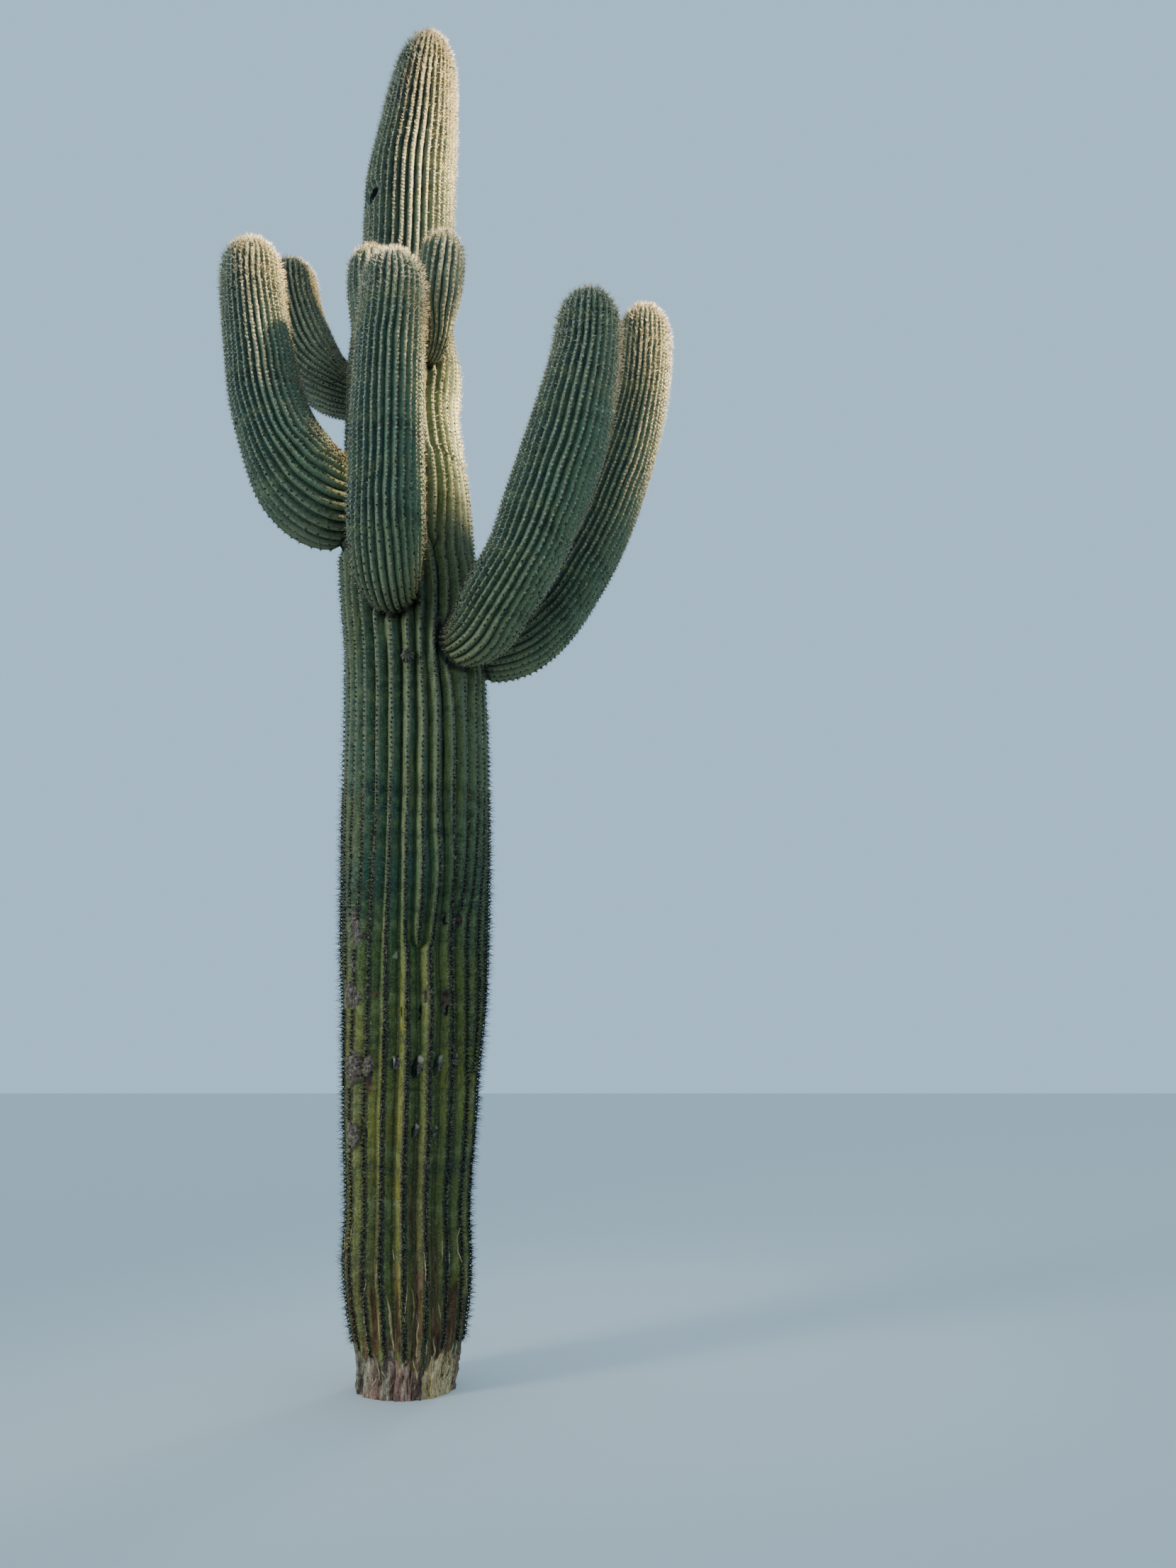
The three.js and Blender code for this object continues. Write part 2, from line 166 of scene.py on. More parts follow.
# dark slits and pocks: azimuth, height, half width, half height, depth
SLITS = [
    (283.4, 1.653, 0.006, 0.03, 0.01), (282.6, 1.615, 0.007, 0.008, 0.008),
    (267.2, 1.646, 0.004, 0.022, 0.006), (248, 1.647, 0.006, 0.008, 0.006),
    (237.3, 1.105, 0.005, 0.022, 0.006), (240.5, 1.37, 0.008, 0.022, 0.008),
    (306, 1.66, 0.005, 0.035, 0.01), (302.5, 2.06, 0.007, 0.025, 0.006),
    (286.6, 1.71, 0.007, 0.03, 0.006), (319.6, 1.11, 0.005, 0.02, 0.006),
    (215, 7.13, 0.022, 0.016, 0.02), (282, 1.375, 0.005, 0.02, 0.006),
    (293, 6.62, 0.007, 0.009, 0.008), (291, 6.9, 0.008, 0.008, 0.006),
    (247, 4.62, 0.006, 0.01, 0.006), (282, 3.62, 0.005, 0.012, 0.006),
    (95, 2.1, 0.007, 0.03, 0.008), (140, 3.1, 0.008, 0.02, 0.008),
    (55, 5.6, 0.01, 0.012, 0.008), (25, 6.2, 0.007, 0.01, 0.006),
]
# pale open slits
PALE = [
    (160, 1.6, 0.008, 0.03, 0.004), (70, 1.15, 0.008, 0.03, 0.004),
    (329, 2.06, 0.007, 0.03, 0.003), (322, 2.16, 0.006, 0.02, 0.003),
    (262, 1.9, 0.007, 0.02, 0.003),
]
HOLE = (217, 6.125, 0.048, 0.034, 0.075)  # an old nest hole
# marks on the arms: length from the root, turn round it (degrees), then as above
ARM_KNOTS = {
    "arm_front": [(0.37, 338, 0.014, 0.09, 0.004), (0.9, 95, 0.02, 0.05, 0.003)],
    "arm_right_front": [(0.3, 172, 0.02, 0.03, 0.003), (1.3, 80, 0.02, 0.04, 0.003)],
    "arm_right_back": [(0.7, 60, 0.025, 0.05, 0.004)],
    "arm_left_front": [(0.55, 300, 0.02, 0.03, 0.003), (1.1, 30, 0.02, 0.05, 0.003)],
}
ARM_SLITS = {
    "arm_front": [
        (1.518, 269, 0.007, 0.008, 0.006), (1.498, 255.5, 0.007, 0.008, 0.006),
        (1.643, 297, 0.008, 0.009, 0.006), (1.525, 299.5, 0.007, 0.007, 0.006),
        (0.97, 280, 0.008, 0.009, 0.006), (1.66, 328, 0.008, 0.009, 0.006),
        (1.2, 110, 0.007, 0.009, 0.006),
    ],
    "arm_right_front": [
        (0.41, 184, 0.006, 0.022, 0.008), (0.36, 196, 0.006, 0.018, 0.008),
        (0.44, 172, 0.005, 0.02, 0.008), (1.0, 262, 0.006, 0.012, 0.006),
        (0.62, 250, 0.006, 0.016, 0.006),
    ],
    "arm_right_back": [(0.5, 250, 0.006, 0.02, 0.008), (1.5, 130, 0.006, 0.012, 0.006)],
    "arm_left_front": [(0.42, 210, 0.006, 0.03, 0.008), (0.9, 310, 0.006, 0.012, 0.006)],
    "arm_left_back": [(0.5, 300, 0.006, 0.014, 0.006)],
}
ARM_RUST = {
    "arm_front_small_right": [(0.225, 185, 0.015, 0.055, -0.002)],
    "arm_front": [(0.3, 290, 0.01, 0.03, -0.002)],
    "arm_right_back": [(0.35, 230, 0.015, 0.04, -0.002)],
}


# ---- helpers -----------------------------------------------------------------
def smooth(a, b, x):
    t = np.clip((np.asarray(x, float) - a) / (b - a), 0, 1)
    return t * t * (3 - 2 * t)


def along(table, column, x):
    """A value that runs smoothly through the rows of a table, by its first column."""
    t = np.asarray(table, float)
    xs, ys = t[:, 0], t[:, column]
    n = len(xs)
    a, b = np.maximum(np.arange(n) - 1, 0), np.minimum(np.arange(n) + 1, n - 1)
    slope = (ys[b] - ys[a]) / (xs[b] - xs[a])
    x = np.clip(np.asarray(x, float), xs[0], xs[-1])
    i = np.clip(np.searchsorted(xs, x, side="right") - 1, 0, n - 2)
    h = xs[i + 1] - xs[i]
    u = (x - xs[i]) / h
    return (
        (2 * u**3 - 3 * u**2 + 1) * ys[i]
        + (u**3 - 2 * u**2 + u) * h * slope[i]
        + (3 * u**2 - 2 * u**3) * ys[i + 1]
        + (u**3 - u**2) * h * slope[i + 1]
    )


def lattice(ix, iy, seed):
    h = (ix * 374761393 + iy * 668265263 + seed * 144269504) & 0xFFFFFFFF
    h = ((h ^ (h >> 13)) * 1274126177) & 0xFFFFFFFF
    return ((h ^ (h >> 16)) & 0xFFFF) / 32767.5 - 1


def noise(x, y, seed=0, wrap=0):
    """Smooth value noise in -1..1. x repeats after wrap cells."""
    x, y = np.broadcast_arrays(np.asarray(x, float), np.asarray(y, float))
    x0, y0 = np.floor(x), np.floor(y)
    fx, fy = x - x0, y - y0
    fx, fy = fx * fx * (3 - 2 * fx), fy * fy * (3 - 2 * fy)
    ix, iy = x0.astype(np.int64), y0.astype(np.int64)
    jx = ix + 1
    if wrap:
        ix, jx = ix % wrap, jx % wrap
    low = lattice(ix, iy, seed) * (1 - fx) + lattice(jx, iy, seed) * fx
    high = lattice(ix, iy + 1, seed) * (1 - fx) + lattice(jx, iy + 1, seed) * fx
    return low * (1 - fy) + high * fy


def linear(code):
    """A colour such as #6a7048 as linear numbers."""
    parts = [int(code[i : i + 2], 16) / 255 for i in (1, 3, 5)]
    return tuple(
        c / 12.92 if c <= 0.04045 else ((c + 0.055) / 1.055) ** 2.4 for c in parts
    )


def turned(degrees):
    """Wraps an angle into -180..180."""
    return (np.asarray(degrees) + 180) % 360 - 180


# ---- trunk -------------------------------------------------------------------
BASE_COLS = [0, 0.06, 0.16, 0.28, 0.4, 0.5, 0.6, 0.72, 0.84, 0.94]
NEW_COLS = [0, 0.08, 0.2, 0.35, 0.5, 0.65, 0.8, 0.92]


def trunk_columns():
    """Each column's rib number, its place across the rib, and whether the rib is a new one."""
    rib, place, new, n = [], [], [], 0
    for k in range(BASE_RIBS):
        for t in BASE_COLS:
            rib.append(n), place.append(t), new.append(False)
        n += 1
        if k in RIB_STARTS:
            for t in NEW_COLS:
                rib.append(n), place.append(t), new.append(True)
            n += 1
    return np.array(rib), np.array(place), np.array(new)


T_RIB, T_PLACE, T_NEW = trunk_columns()
T_CRESTS = np.flatnonzero(T_PLACE == 0.5)


def trunk_x(z):
    top = TRUNK_LINE[-1]
    lerp = top[1] + (TRUNK_TIP[0] - top[1]) * (z - top[0]) / (TRUNK_TIP[1] - top[0])
    return np.where(z <= top[0], along(TRUNK_LINE, 1, z), lerp)


def trunk_crest(z):
    q = np.clip((z - (TRUNK_TIP[1] - TRUNK_DOME)) / TRUNK_DOME, 0, 1)
    return along(TRUNK_LINE, 2, z) * np.sqrt(np.maximum(0, 1 - q**2.2)), q


def trunk_layout(z):
    """Angle in degrees and groove share of every column at the heights z."""
    z = np.asarray(z, float)
    base = np.ones((len(z), BASE_RIBS))
    new = np.zeros((len(z), BASE_RIBS))
    for k, s in RIB_STARTS.items():
        early = 0.55 * (smooth(s - 0.015, s + 0.045, z) - smooth(s + 0.08, s + 0.6, z))
        new[:, k] = 0.1 + 0.9 * smooth(s - 0.03, s + START_RUN, z) + early
        base[:, k] -= early / 2
        base[:, (k + 1) % BASE_RIBS] -= early / 2
    whole = (base + new).sum(1)
    angle, share = [], []
    start = np.zeros(len(z))
    for k in range(BASE_RIBS):
        for width, cols, fresh in ((base[:, k], BASE_COLS, 0), (new[:, k], NEW_COLS, 1)):
            if fresh and k not in RIB_STARTS:
                continue
            t = np.array(cols)
            angle.append(start[:, None] + width[:, None] * t)
            # the lower trunk's ribs have flatter sides than the rounder ones above
            power = 1.35 + 0.85 * smooth(1.6, 3.2, z)[:, None]
            across = np.abs(2 * t - 1)[None, :] ** power
            sunk = 1 - smooth(0.1, 0.55, width)[:, None] if fresh else 0.0
            share.append(sunk + (1 - sunk) * across)
            start = start + width
    angle = FIRST_GROOVE + np.concatenate(angle, 1) / whole[:, None] * 360
    calm = 1 - 0.8 * smooth(4.0, 5.0, z)[:, None]
    angle = angle + calm * 1.1 * noise(angle / 30, z[:, None] * 2.2, 3, 12)
    angle = angle + calm * 0.45 * noise(angle / 10, z[:, None] * 6, 4, 36)
    share = np.concatenate(share, 1)
    # the ribs part round each arm's foot
    r = trunk_crest(z)[0]
    for azimuth, height, parting, reach in FEET:
        mid = np.argmin(np.abs(z - height))
        nearest = T_CRESTS[np.argmin(np.abs(turned(angle[mid, T_CRESTS] - azimuth)))]
        near = np.exp(-(((z - height) / reach) ** 2))[:, None]
        arc = np.radians(turned(angle - angle[:, [nearest]])) * r[:, None]
        pushed = arc * np.sqrt(1 + parting**2 * near / (arc**2 + 0.035**2))
        # nothing moves on the far side
        fade = smooth(0.9, 0.5, np.abs(arc) / np.maximum(r, 1e-6)[:, None])
        arc = arc + (pushed - arc) * fade
        angle = angle[:, [nearest]] + np.degrees(arc / np.maximum(r, 1e-6)[:, None])
    return angle, share


def ring_heights():
    """Heights of the trunk's rings."""
    out, z = [0.0], 0.0
    top = TRUNK_TIP[1] - TRUNK_DOME
    while z < top - 0.004:
        z += 0.0048 if z < 0.19 else 0.0084 - 0.0006 * float(smooth(2.2, 5.0, z))
        out.append(min(z, top))
    rest = 48
    for k in range(1, rest):
        out.append(top + TRUNK_DOME * math.sin(k / rest * math.pi / 2) ** (2 / 2.2))
    return np.array(out)


def areole_rows(ring, rib, z):
    """Which rings carry an areole on a rib's crest. They stand closer together low down."""
    close = (ring + rib) % 2 == 0
    return np.where(z < 2.75, close, (ring + rib * 2 % 3) % 3 == 0)


def spots(angle, z, table, r):
    """How far each point lies in the marks of a table (0 to 1), how far the marks lift
    it, and how near it is to their edge."""
    total, lift, edge = (np.zeros_like(angle) for _ in range(3))
    for azimuth, height, wide, tall, out in table:
        rows = np.abs(z[:, 0] - height) < tall * 1.8
        if not rows.any():
            continue
        a, h = angle[rows], z[rows]
        across = np.radians(turned(a - azimuth)) * r[rows] / wide
        up = (h - height) / tall
        rough = 0.3 * noise(a / 3.0, h * 60, 11) + 0.2 * noise(a / 1.2, h * 140, 12)
        d = np.sqrt(across**2 + up**2) + rough
        inside = smooth(1.15, 0.8, d)
        total[rows] = np.maximum(total[rows], inside)
        edge[rows] = np.maximum(edge[rows], smooth(0.75, 1.0, d) * smooth(1.4, 1.15, d))
        lift[rows] += inside * out
    return total, lift, edge


def feet_gap(points):
    """How far each point is outside the nearest arm (metres), for those near one."""
    gap = np.full(len(points), 1.0)
    for name, arm in ARMS.items():
        middle, radius = arm["axis"]
        near = np.linalg.norm(middle - middle[0], axis=1) < 0.62
        mid, rad = middle[near][::6], radius[near][::6]
        low, high = (mid - 0.35).min(0), (mid + 0.35).max(0)
        take = np.flatnonzero(((points > low) & (points < high)).all(1))
        for part in np.array_split(take, max(1, len(take) // 20000)):
            if len(part):
                far = np.linalg.norm(points[part][:, None] - mid[None], axis=2) - rad
                gap[part] = np.minimum(gap[part], far.min(1))
    return gap


def arm_axis(arm):
    """The arm's middle line at fine steps, its radius, and the length."""
    p = []
    for azimuth, reach, height, _ in arm["line"]:
        a = math.radians(azimuth)
        x = float(along(TRUNK_LINE, 1, height))
        p.append((x + reach * math.cos(a), reach * math.sin(a), height))
    p = np.array(p)
    ends = np.vstack([2 * p[0] - p[1], p, 2 * p[-1] - p[-2]])
    steps, out = 120, []
    for i in range(len(p) - 1):
        a, b, c, d = ends[i : i + 4]
        ta, tb, tc = (
            max(1e-6, np.linalg.norm(v) ** 0.5) for v in (b - a, c - b, d - c)
        )
        m1 = ((b - a) / ta - (c - a) / (ta + tb) + (c - b) / tb) * tb
        m2 = ((c - b) / tb - (d - b) / (tb + tc) + (d - c) / tc) * tb
        t = np.linspace(0, 1, steps, endpoint=i == len(p) - 2)[:, None]
        out.append(
            b
            + m1 * t
            + (3 * (c - b) - 2 * m1 - m2) * t**2
            + (2 * (b - c) + m1 + m2) * t**3
        )
    line = np.concatenate(out)
    run = np.concatenate([[0], np.cumsum(np.linalg.norm(np.diff(line, axis=0), axis=1))])
    stations = [[run[min(i * steps, len(run) - 1)], row[3]] for i, row in enumerate(arm["line"])]
    stations[-1][0] = run[-1]
    return line, run, stations


for arm in ARMS.values():
    line, run, stations = arm_axis(arm)
    arm["curve"], arm["run"], arm["stations"] = line, run, stations
    arm["axis"] = (line, along(stations, 1, run))


def grid_normals(points):
    """Outward normals of a closed-round grid of points (rings, columns, 3)."""
    du = np.roll(points, -1, 1) - np.roll(points, 1, 1)
    dv = np.gradient(points, axis=0)
    n = np.cross(du, dv)
    return n / np.maximum(np.linalg.norm(n, axis=2, keepdims=True), 1e-12)


def skin(name, points, normals, v, layers, material, nodes, ends=(None, None)):
    """A closed skin from a grid of points (rings, columns, 3). ends are the middle
    points of its two closed ends, or None for the ring's own middle. v is the place of
    each ring from 0 to 1, and layers {name: (rings, columns)} go in as attributes."""
    rings, cols = points.shape[:2]
    low = points[0].mean(0) if ends[0] is None else np.array(ends[0], float)
    high = points[-1].mean(0) if ends[1] is None else np.array(ends[1], float)
    co = np.vstack([points.reshape(-1, 3), low, high])
    i = np.arange(cols)
    j = np.arange(rings - 1)[:, None]
    a, b = j * cols + i, j * cols + (i + 1) % cols
    quads = np.stack([a, b, b + cols, a + cols], 2).reshape(-1, 4)
    first = np.stack([np.full(cols, rings * cols), (i + 1) % cols, i], 1)
    top = (rings - 1) * cols
    last = np.stack([np.full(cols, rings * cols + 1), top + i, top + (i + 1) % cols], 1)
    mesh = bpy.data.meshes.new(name)
    mesh.vertices.add(len(co))
    mesh.vertices.foreach_set("co", co.astype(np.float32).ravel())
    corners = np.concatenate([quads.ravel(), first.ravel(), last.ravel()])
    sizes = np.concatenate([np.full(len(quads), 4), np.full(2 * cols, 3)])
    mesh.loops.add(len(corners))
    mesh.loops.foreach_set("vertex_index", corners.astype(np.int32))
    mesh.polygons.add(len(sizes))
    starts = np.concatenate([[0], np.cumsum(sizes)[:-1]])
    mesh.polygons.foreach_set("loop_start", starts.astype(np.int32))
    mesh.polygons.foreach_set("use_smooth", np.ones(len(sizes), bool))
    mesh.update(calc_edges=True)
    # the bake's map: the grid itself, and a thin strip for each closed end
    u = np.linspace(0, 1, cols + 1) * 0.996 + 0.002
    rise = 0.03 + 0.94 * v
    uv = np.empty((len(corners), 2))
    q = len(quads) * 4
    jj, ii = np.divmod(np.arange(len(quads)), cols)
    uv[:q] = np.stack(
        [
            np.stack([u[ii], u[ii + 1], u[ii + 1], u[ii]], 1),
            np.stack([rise[jj], rise[jj], rise[jj + 1], rise[jj + 1]], 1),
        ],
        2,
    ).reshape(-1, 2)
    mid = (u[:-1] + u[1:]) / 2
    uv[q : q + 3 * cols] = np.stack(
        [np.stack([mid, u[1:], u[:-1]], 1), np.tile([0.002, 0.022, 0.022], (cols, 1))], 2
    ).reshape(-1, 2)
    uv[q + 3 * cols :] = np.stack(
        [np.stack([mid, u[:-1], u[1:]], 1), np.tile([0.998, 0.978, 0.978], (cols, 1))], 2
    ).reshape(-1, 2)
    layer = mesh.uv_layers.new(name="OFBake")
    layer.uv.foreach_set("vector", uv.astype(np.float32).ravel())
    # the grid's own normals, so that no seam shows where two lengths meet
    given = np.empty((len(corners), 3))
    given[:q] = normals.reshape(-1, 3)[corners[:q]]
    for part, at, side in ((first, q, 0), (last, q + 3 * cols, 1)):
        if ends[side] is None:
            p = co[part]
            n = np.cross(p[:, 1] - p[:, 0], p[:, 2] - p[:, 0])
            n /= np.maximum(np.linalg.norm(n, axis=1, keepdims=True), 1e-12)
            given[at : at + 3 * cols] = np.repeat(n, 3, 0)
        else:
            ring = normals[0 if side == 0 else -1]
            tip = ring.mean(0)
            tip /= max(np.linalg.norm(tip), 1e-9)
            full = np.vstack([normals.reshape(-1, 3), tip, tip])
            given[at : at + 3 * cols] = full[part.ravel()]
    mesh.normals_split_custom_set(given.astype(np.float32))
    for key, values in layers.items():
        edge = [values[0].mean(), values[-1].mean()]
        flat = np.concatenate([values.ravel(), edge]).astype(np.float32)
        made = mesh.attributes.new(key, "FLOAT", "POINT")
        made.data.foreach_set("value", flat)
    mesh.materials.append(material)
    piece = bpy.data.objects.new(name, mesh)
    bpy.context.scene.collection.objects.link(piece)
    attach(piece, "root")
    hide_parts(*nodes)
    return piece


def build_trunk():
    z = ring_heights()
    angle, share = trunk_layout(z)
    crest, q = trunk_crest(z)
    cols = angle.shape[1]
    zz = np.repeat(z[:, None], cols, 1)
    rise = (0.112 + 0.012 * smooth(1.8, 3.4, z)) * smooth(0.1, 0.38, z)
    deep = rise * (1 - 0.5 * q) + 0.012
    r = crest[:, None] * (1 - deep[:, None] * share)
    live = smooth(0.14, 0.26, z)[:, None]  # the corky collar has no areoles
    # areoles sit on small rises along each crest
    ring = np.arange(len(z))[:, None]
    on = areole_rows(ring, T_RIB[None, :], zz).astype(float)
    near_crest = np.maximum(0, 1 - np.abs(T_PLACE - 0.5) / 0.18)[None, :]
    body = (crest / 0.3)[:, None].clip(0, 1)
    r += near_crest * (on * 0.0024 - 0.0009) * live * body
    # each rib is a little higher or lower along its length
    r += 0.003 * (1 - share) * noise(T_RIB[None, :] * 1.7, zz * 3.1, 21) * body
    r += 0.0016 * noise(angle / 2.4, zz * 30, 22, 150) * body
    # folds across the ribs below and between the arms
    fold = smooth(2.85, 3.3, zz) * smooth(4.2, 3.75, zz)
    fold = np.maximum(fold, 0.35 * smooth(2.0, 2.8, zz) * smooth(5.2, 4.4, zz))
    slant = zz * 62 + 2.2 * noise(angle / 9, zz * 4, 24, 40)
    r += -0.0016 * fold * np.abs(np.sin(slant * math.pi)) * (0.5 + 0.5 * share)
    under = np.zeros_like(r)
    for azimuth, height, wide, tall in WRINKLED:
        across = np.radians(turned(angle - azimuth)) * crest[:, None] / wide
        up = (zz - height) / tall
        under = np.maximum(under, smooth(1.2, 0.6, np.sqrt(across**2 + up**2)))
    # a flatter, stretched patch under an arm
    flat = under * 0.45
    r = r + flat * (crest[:, None] * (1 - 0.35 * deep[:, None]) - r)
    # corky collar and the bark that climbs from it
    bark_edge = 0.155 + 0.035 * noise(angle / 14, zz * 0 + 1, 31, 26) + 0.03 * noise(angle / 5, zz * 7, 32, 72)
    collar = smooth(bark_edge + 0.05, bark_edge - 0.02, zz)
    crack = noise(angle / 3.2, zz * 7 + 2.2 * noise(angle / 12, zz * 5, 33, 30), 34, 112)
    crack2 = noise(angle / 1.3, zz * 16, 35, 277)
    cleft = noise(angle / 9 + 0.7 * noise(angle / 20, zz * 9, 44, 18), zz * 2.5, 45)
    r += collar * (0.008 * noise(angle / 8, zz * 4, 46, 45) + 0.005 * crack + 0.0035 * crack2)
    r -= collar * (0.011 * smooth(0.1, 0.02, np.abs(cleft)) + 0.006 * smooth(0.5, 0.9, np.abs(crack)))
    crumb = noise(angle / 1.6 + 0.5 * noise(angle / 4, zz * 30, 57, 90), zz * 62, 55)
    r += collar * (0.004 * crumb - 0.006 * smooth(0.45, 0.8, noise(angle / 2.6, zz * 34, 56)))
    fibre = collar * (smooth(292, 300, angle % 360) * smooth(352, 338, angle % 360) + smooth(60, 68, angle % 360) * smooth(112, 100, angle % 360))
    streak = noise(angle / 4.5, zz * 2.4, 36, 80) + 0.5 * noise(angle / 1.8, zz * 9, 37, 200)
    high = 1.05 - 0.5 * noise(angle / 22, zz * 0, 38, 16)
    bark = smooth(0.15, 0.8, streak + 1.3 * smooth(high, 0.12, zz) - 0.45) * smooth(high, 0.3, zz)
    bark = np.maximum(bark * (0.2 + 0.8 * smooth(0.15, 0.5, share)), collar)
    r += 0.003 * bark * (1 - collar) * noise(angle / 0.9, zz * 34, 39, 400)
    # marks of age
    rr = np.repeat(crest[:, None], cols, 1)
    knots, lift, knot_edge = spots(angle, zz, KNOTS, rr)
    r = r + 0.65 * knots * (rr * (1 - 0.3 * deep[:, None]) - r)
    r += lift * (0.7 + 0.9 * noise(angle / 0.9, zz * 120, 41))
    rust, lift, _ = spots(angle, zz, RUST, rr)
    r += lift
    slits, depth, _ = spots(angle, zz, SLITS, rr)
    r -= depth
    pale, depth, _ = spots(angle, zz, PALE, rr)
    r -= depth
    for azimuth, height, wide, tall in LENSES:
        up = (zz - height) / tall
        across = np.radians(turned(angle - azimuth)) * rr / wide - 0.45 * up
        d = np.sqrt(across**2 + up**2) + 0.15 * noise(angle / 2.5, zz * 60, 49)
        inside = smooth(1.1, 0.85, d)
        hollow = inside * smooth(0.05, -0.35, across + 0.35 * up)
        body_of = inside * (1 - hollow)
        r = r + 0.5 * body_of * (rr * (1 - 0.25 * deep[:, None]) - r) + 0.005 * body_of - 0.012 * hollow
        knots = np.maximum(knots, 0.75 * body_of)
        # painted light: the upper part of each swelling is paler as a highlight, and its hollow is painted dark as
        # shade
        pale = np.maximum(pale, 0.55 * body_of * smooth(-0.2, 0.5, up))
        slits = np.maximum(slits, 0.95 * hollow)
    azimuth, height, wide, tall, into = HOLE
    across = np.radians(turned(angle - azimuth)) * rr / wide
    up = (zz - height) / tall
    d = np.sqrt(across**2 + up**2 - 0.5 * across * up) + 0.07 * noise(angle / 9, zz * 18, 42)
    level = smooth(2.1, 1.4, d)
    r = r + 0.85 * level * (rr * (1 - 0.6 * deep[:, None]) - r)
    hole = smooth(1.1, 0.8, d)
    # painted shade: the inside of the hole is painted near black
    black = smooth(1.3, 1.15, d)
    rim = smooth(1.8, 1.25, d) * (1 - black)
    r += 0.003 * rim * (0.8 + 0.2 * noise(angle / 2, zz * 80, 43))
    r -= hole * into
    # a ring of painted shade round the bud
    bud = np.hypot(np.radians(turned(angle - BUD["azimuth"])) * rr, zz - BUD["height"])
    bud_shade_ring = smooth(0.05, 0.03, bud)
    a = np.radians(angle)
    x = trunk_x(z)[:, None]
    points = np.stack([x + r * np.cos(a), r * np.sin(a), zz], 2)
    # a crease all round each arm's foot
    gap = feet_gap(points.reshape(-1, 3)).reshape(r.shape)
    crease = np.exp(-(((gap - 0.004) / 0.022) ** 2))
    r = r - 0.018 * crease
    points = np.stack([x + r * np.cos(a), r * np.sin(a), zz], 2)
    # painted sunlight: the left side of each rib, and every side facing the left front, is yellower, in broken lengths
    step = noise(T_RIB[None, :] * 1.0 + 0 * zz, zz * 2.6 + 0.3 * noise(angle / 3, zz * 5, 47, 120), 48)
    streaks = noise(angle / 1.6, zz * 5, 53, 225) + 0.6 * noise(angle / 0.7, zz * 11, 54)
    left = smooth(0.3, 0.62, 1 - T_PLACE)[None, :]
    painted_light_facing = 0.46 + 0.4 * np.cos(np.radians(angle - 215))
    painted_sun = smooth(2.25, 1.4, zz + 0.22 * step) * (0.7 + 0.3 * smooth(-0.3, 0.1, step))
    painted_sun = painted_sun * np.maximum(left, painted_light_facing) * (0.8 + 0.2 * streaks).clip(0, 1)
    low = smooth(3.4, 2.2, zz)
    felt = (1 - np.abs(2 * T_PLACE - 1)[None, :] ** 1.3) * smooth(0.1, 0.6, 1 - share)
    felt = felt + 0.06 * noise(angle / 0.9, zz * 110, 51, 400) + 0.03 * noise(angle / 3, zz * 25, 52, 120)
    mid = smooth(2.5, 3.1, zz) * smooth(4.3, 3.7, zz)
    band = smooth(0.9 - 0.3 * low - 0.28 * mid, 0.99 - 0.1 * low, felt) * (1 - collar)
    layers = {
        "rib": 1 - share,
        "band": band,
        "side": np.repeat(1 - T_PLACE[None, :], len(z), 0),
        "painted_sun": painted_sun,
        "run": zz,
        "fold": np.maximum(0.6 * fold, under),
        "bark": bark,
        "collar": collar,
        "fibre": fibre,
        "knot": np.maximum(knots, 0.55 * rim),
        "rust": rust,
        # dark: slits and knot edges, and painted shade inside the nest hole, in the crease round each arm's foot and
        # round the bud
        "dark": np.maximum.reduce([slits, 0.55 * knot_edge, 1.2 * black, 0.75 * np.exp(-((gap / 0.026) ** 2)), 0.5 * bud_shade_ring]),
        "pale": np.maximum(pale, 0.35 * rim),
    }
    return z, angle, points, grid_normals(points), layers, r, knots


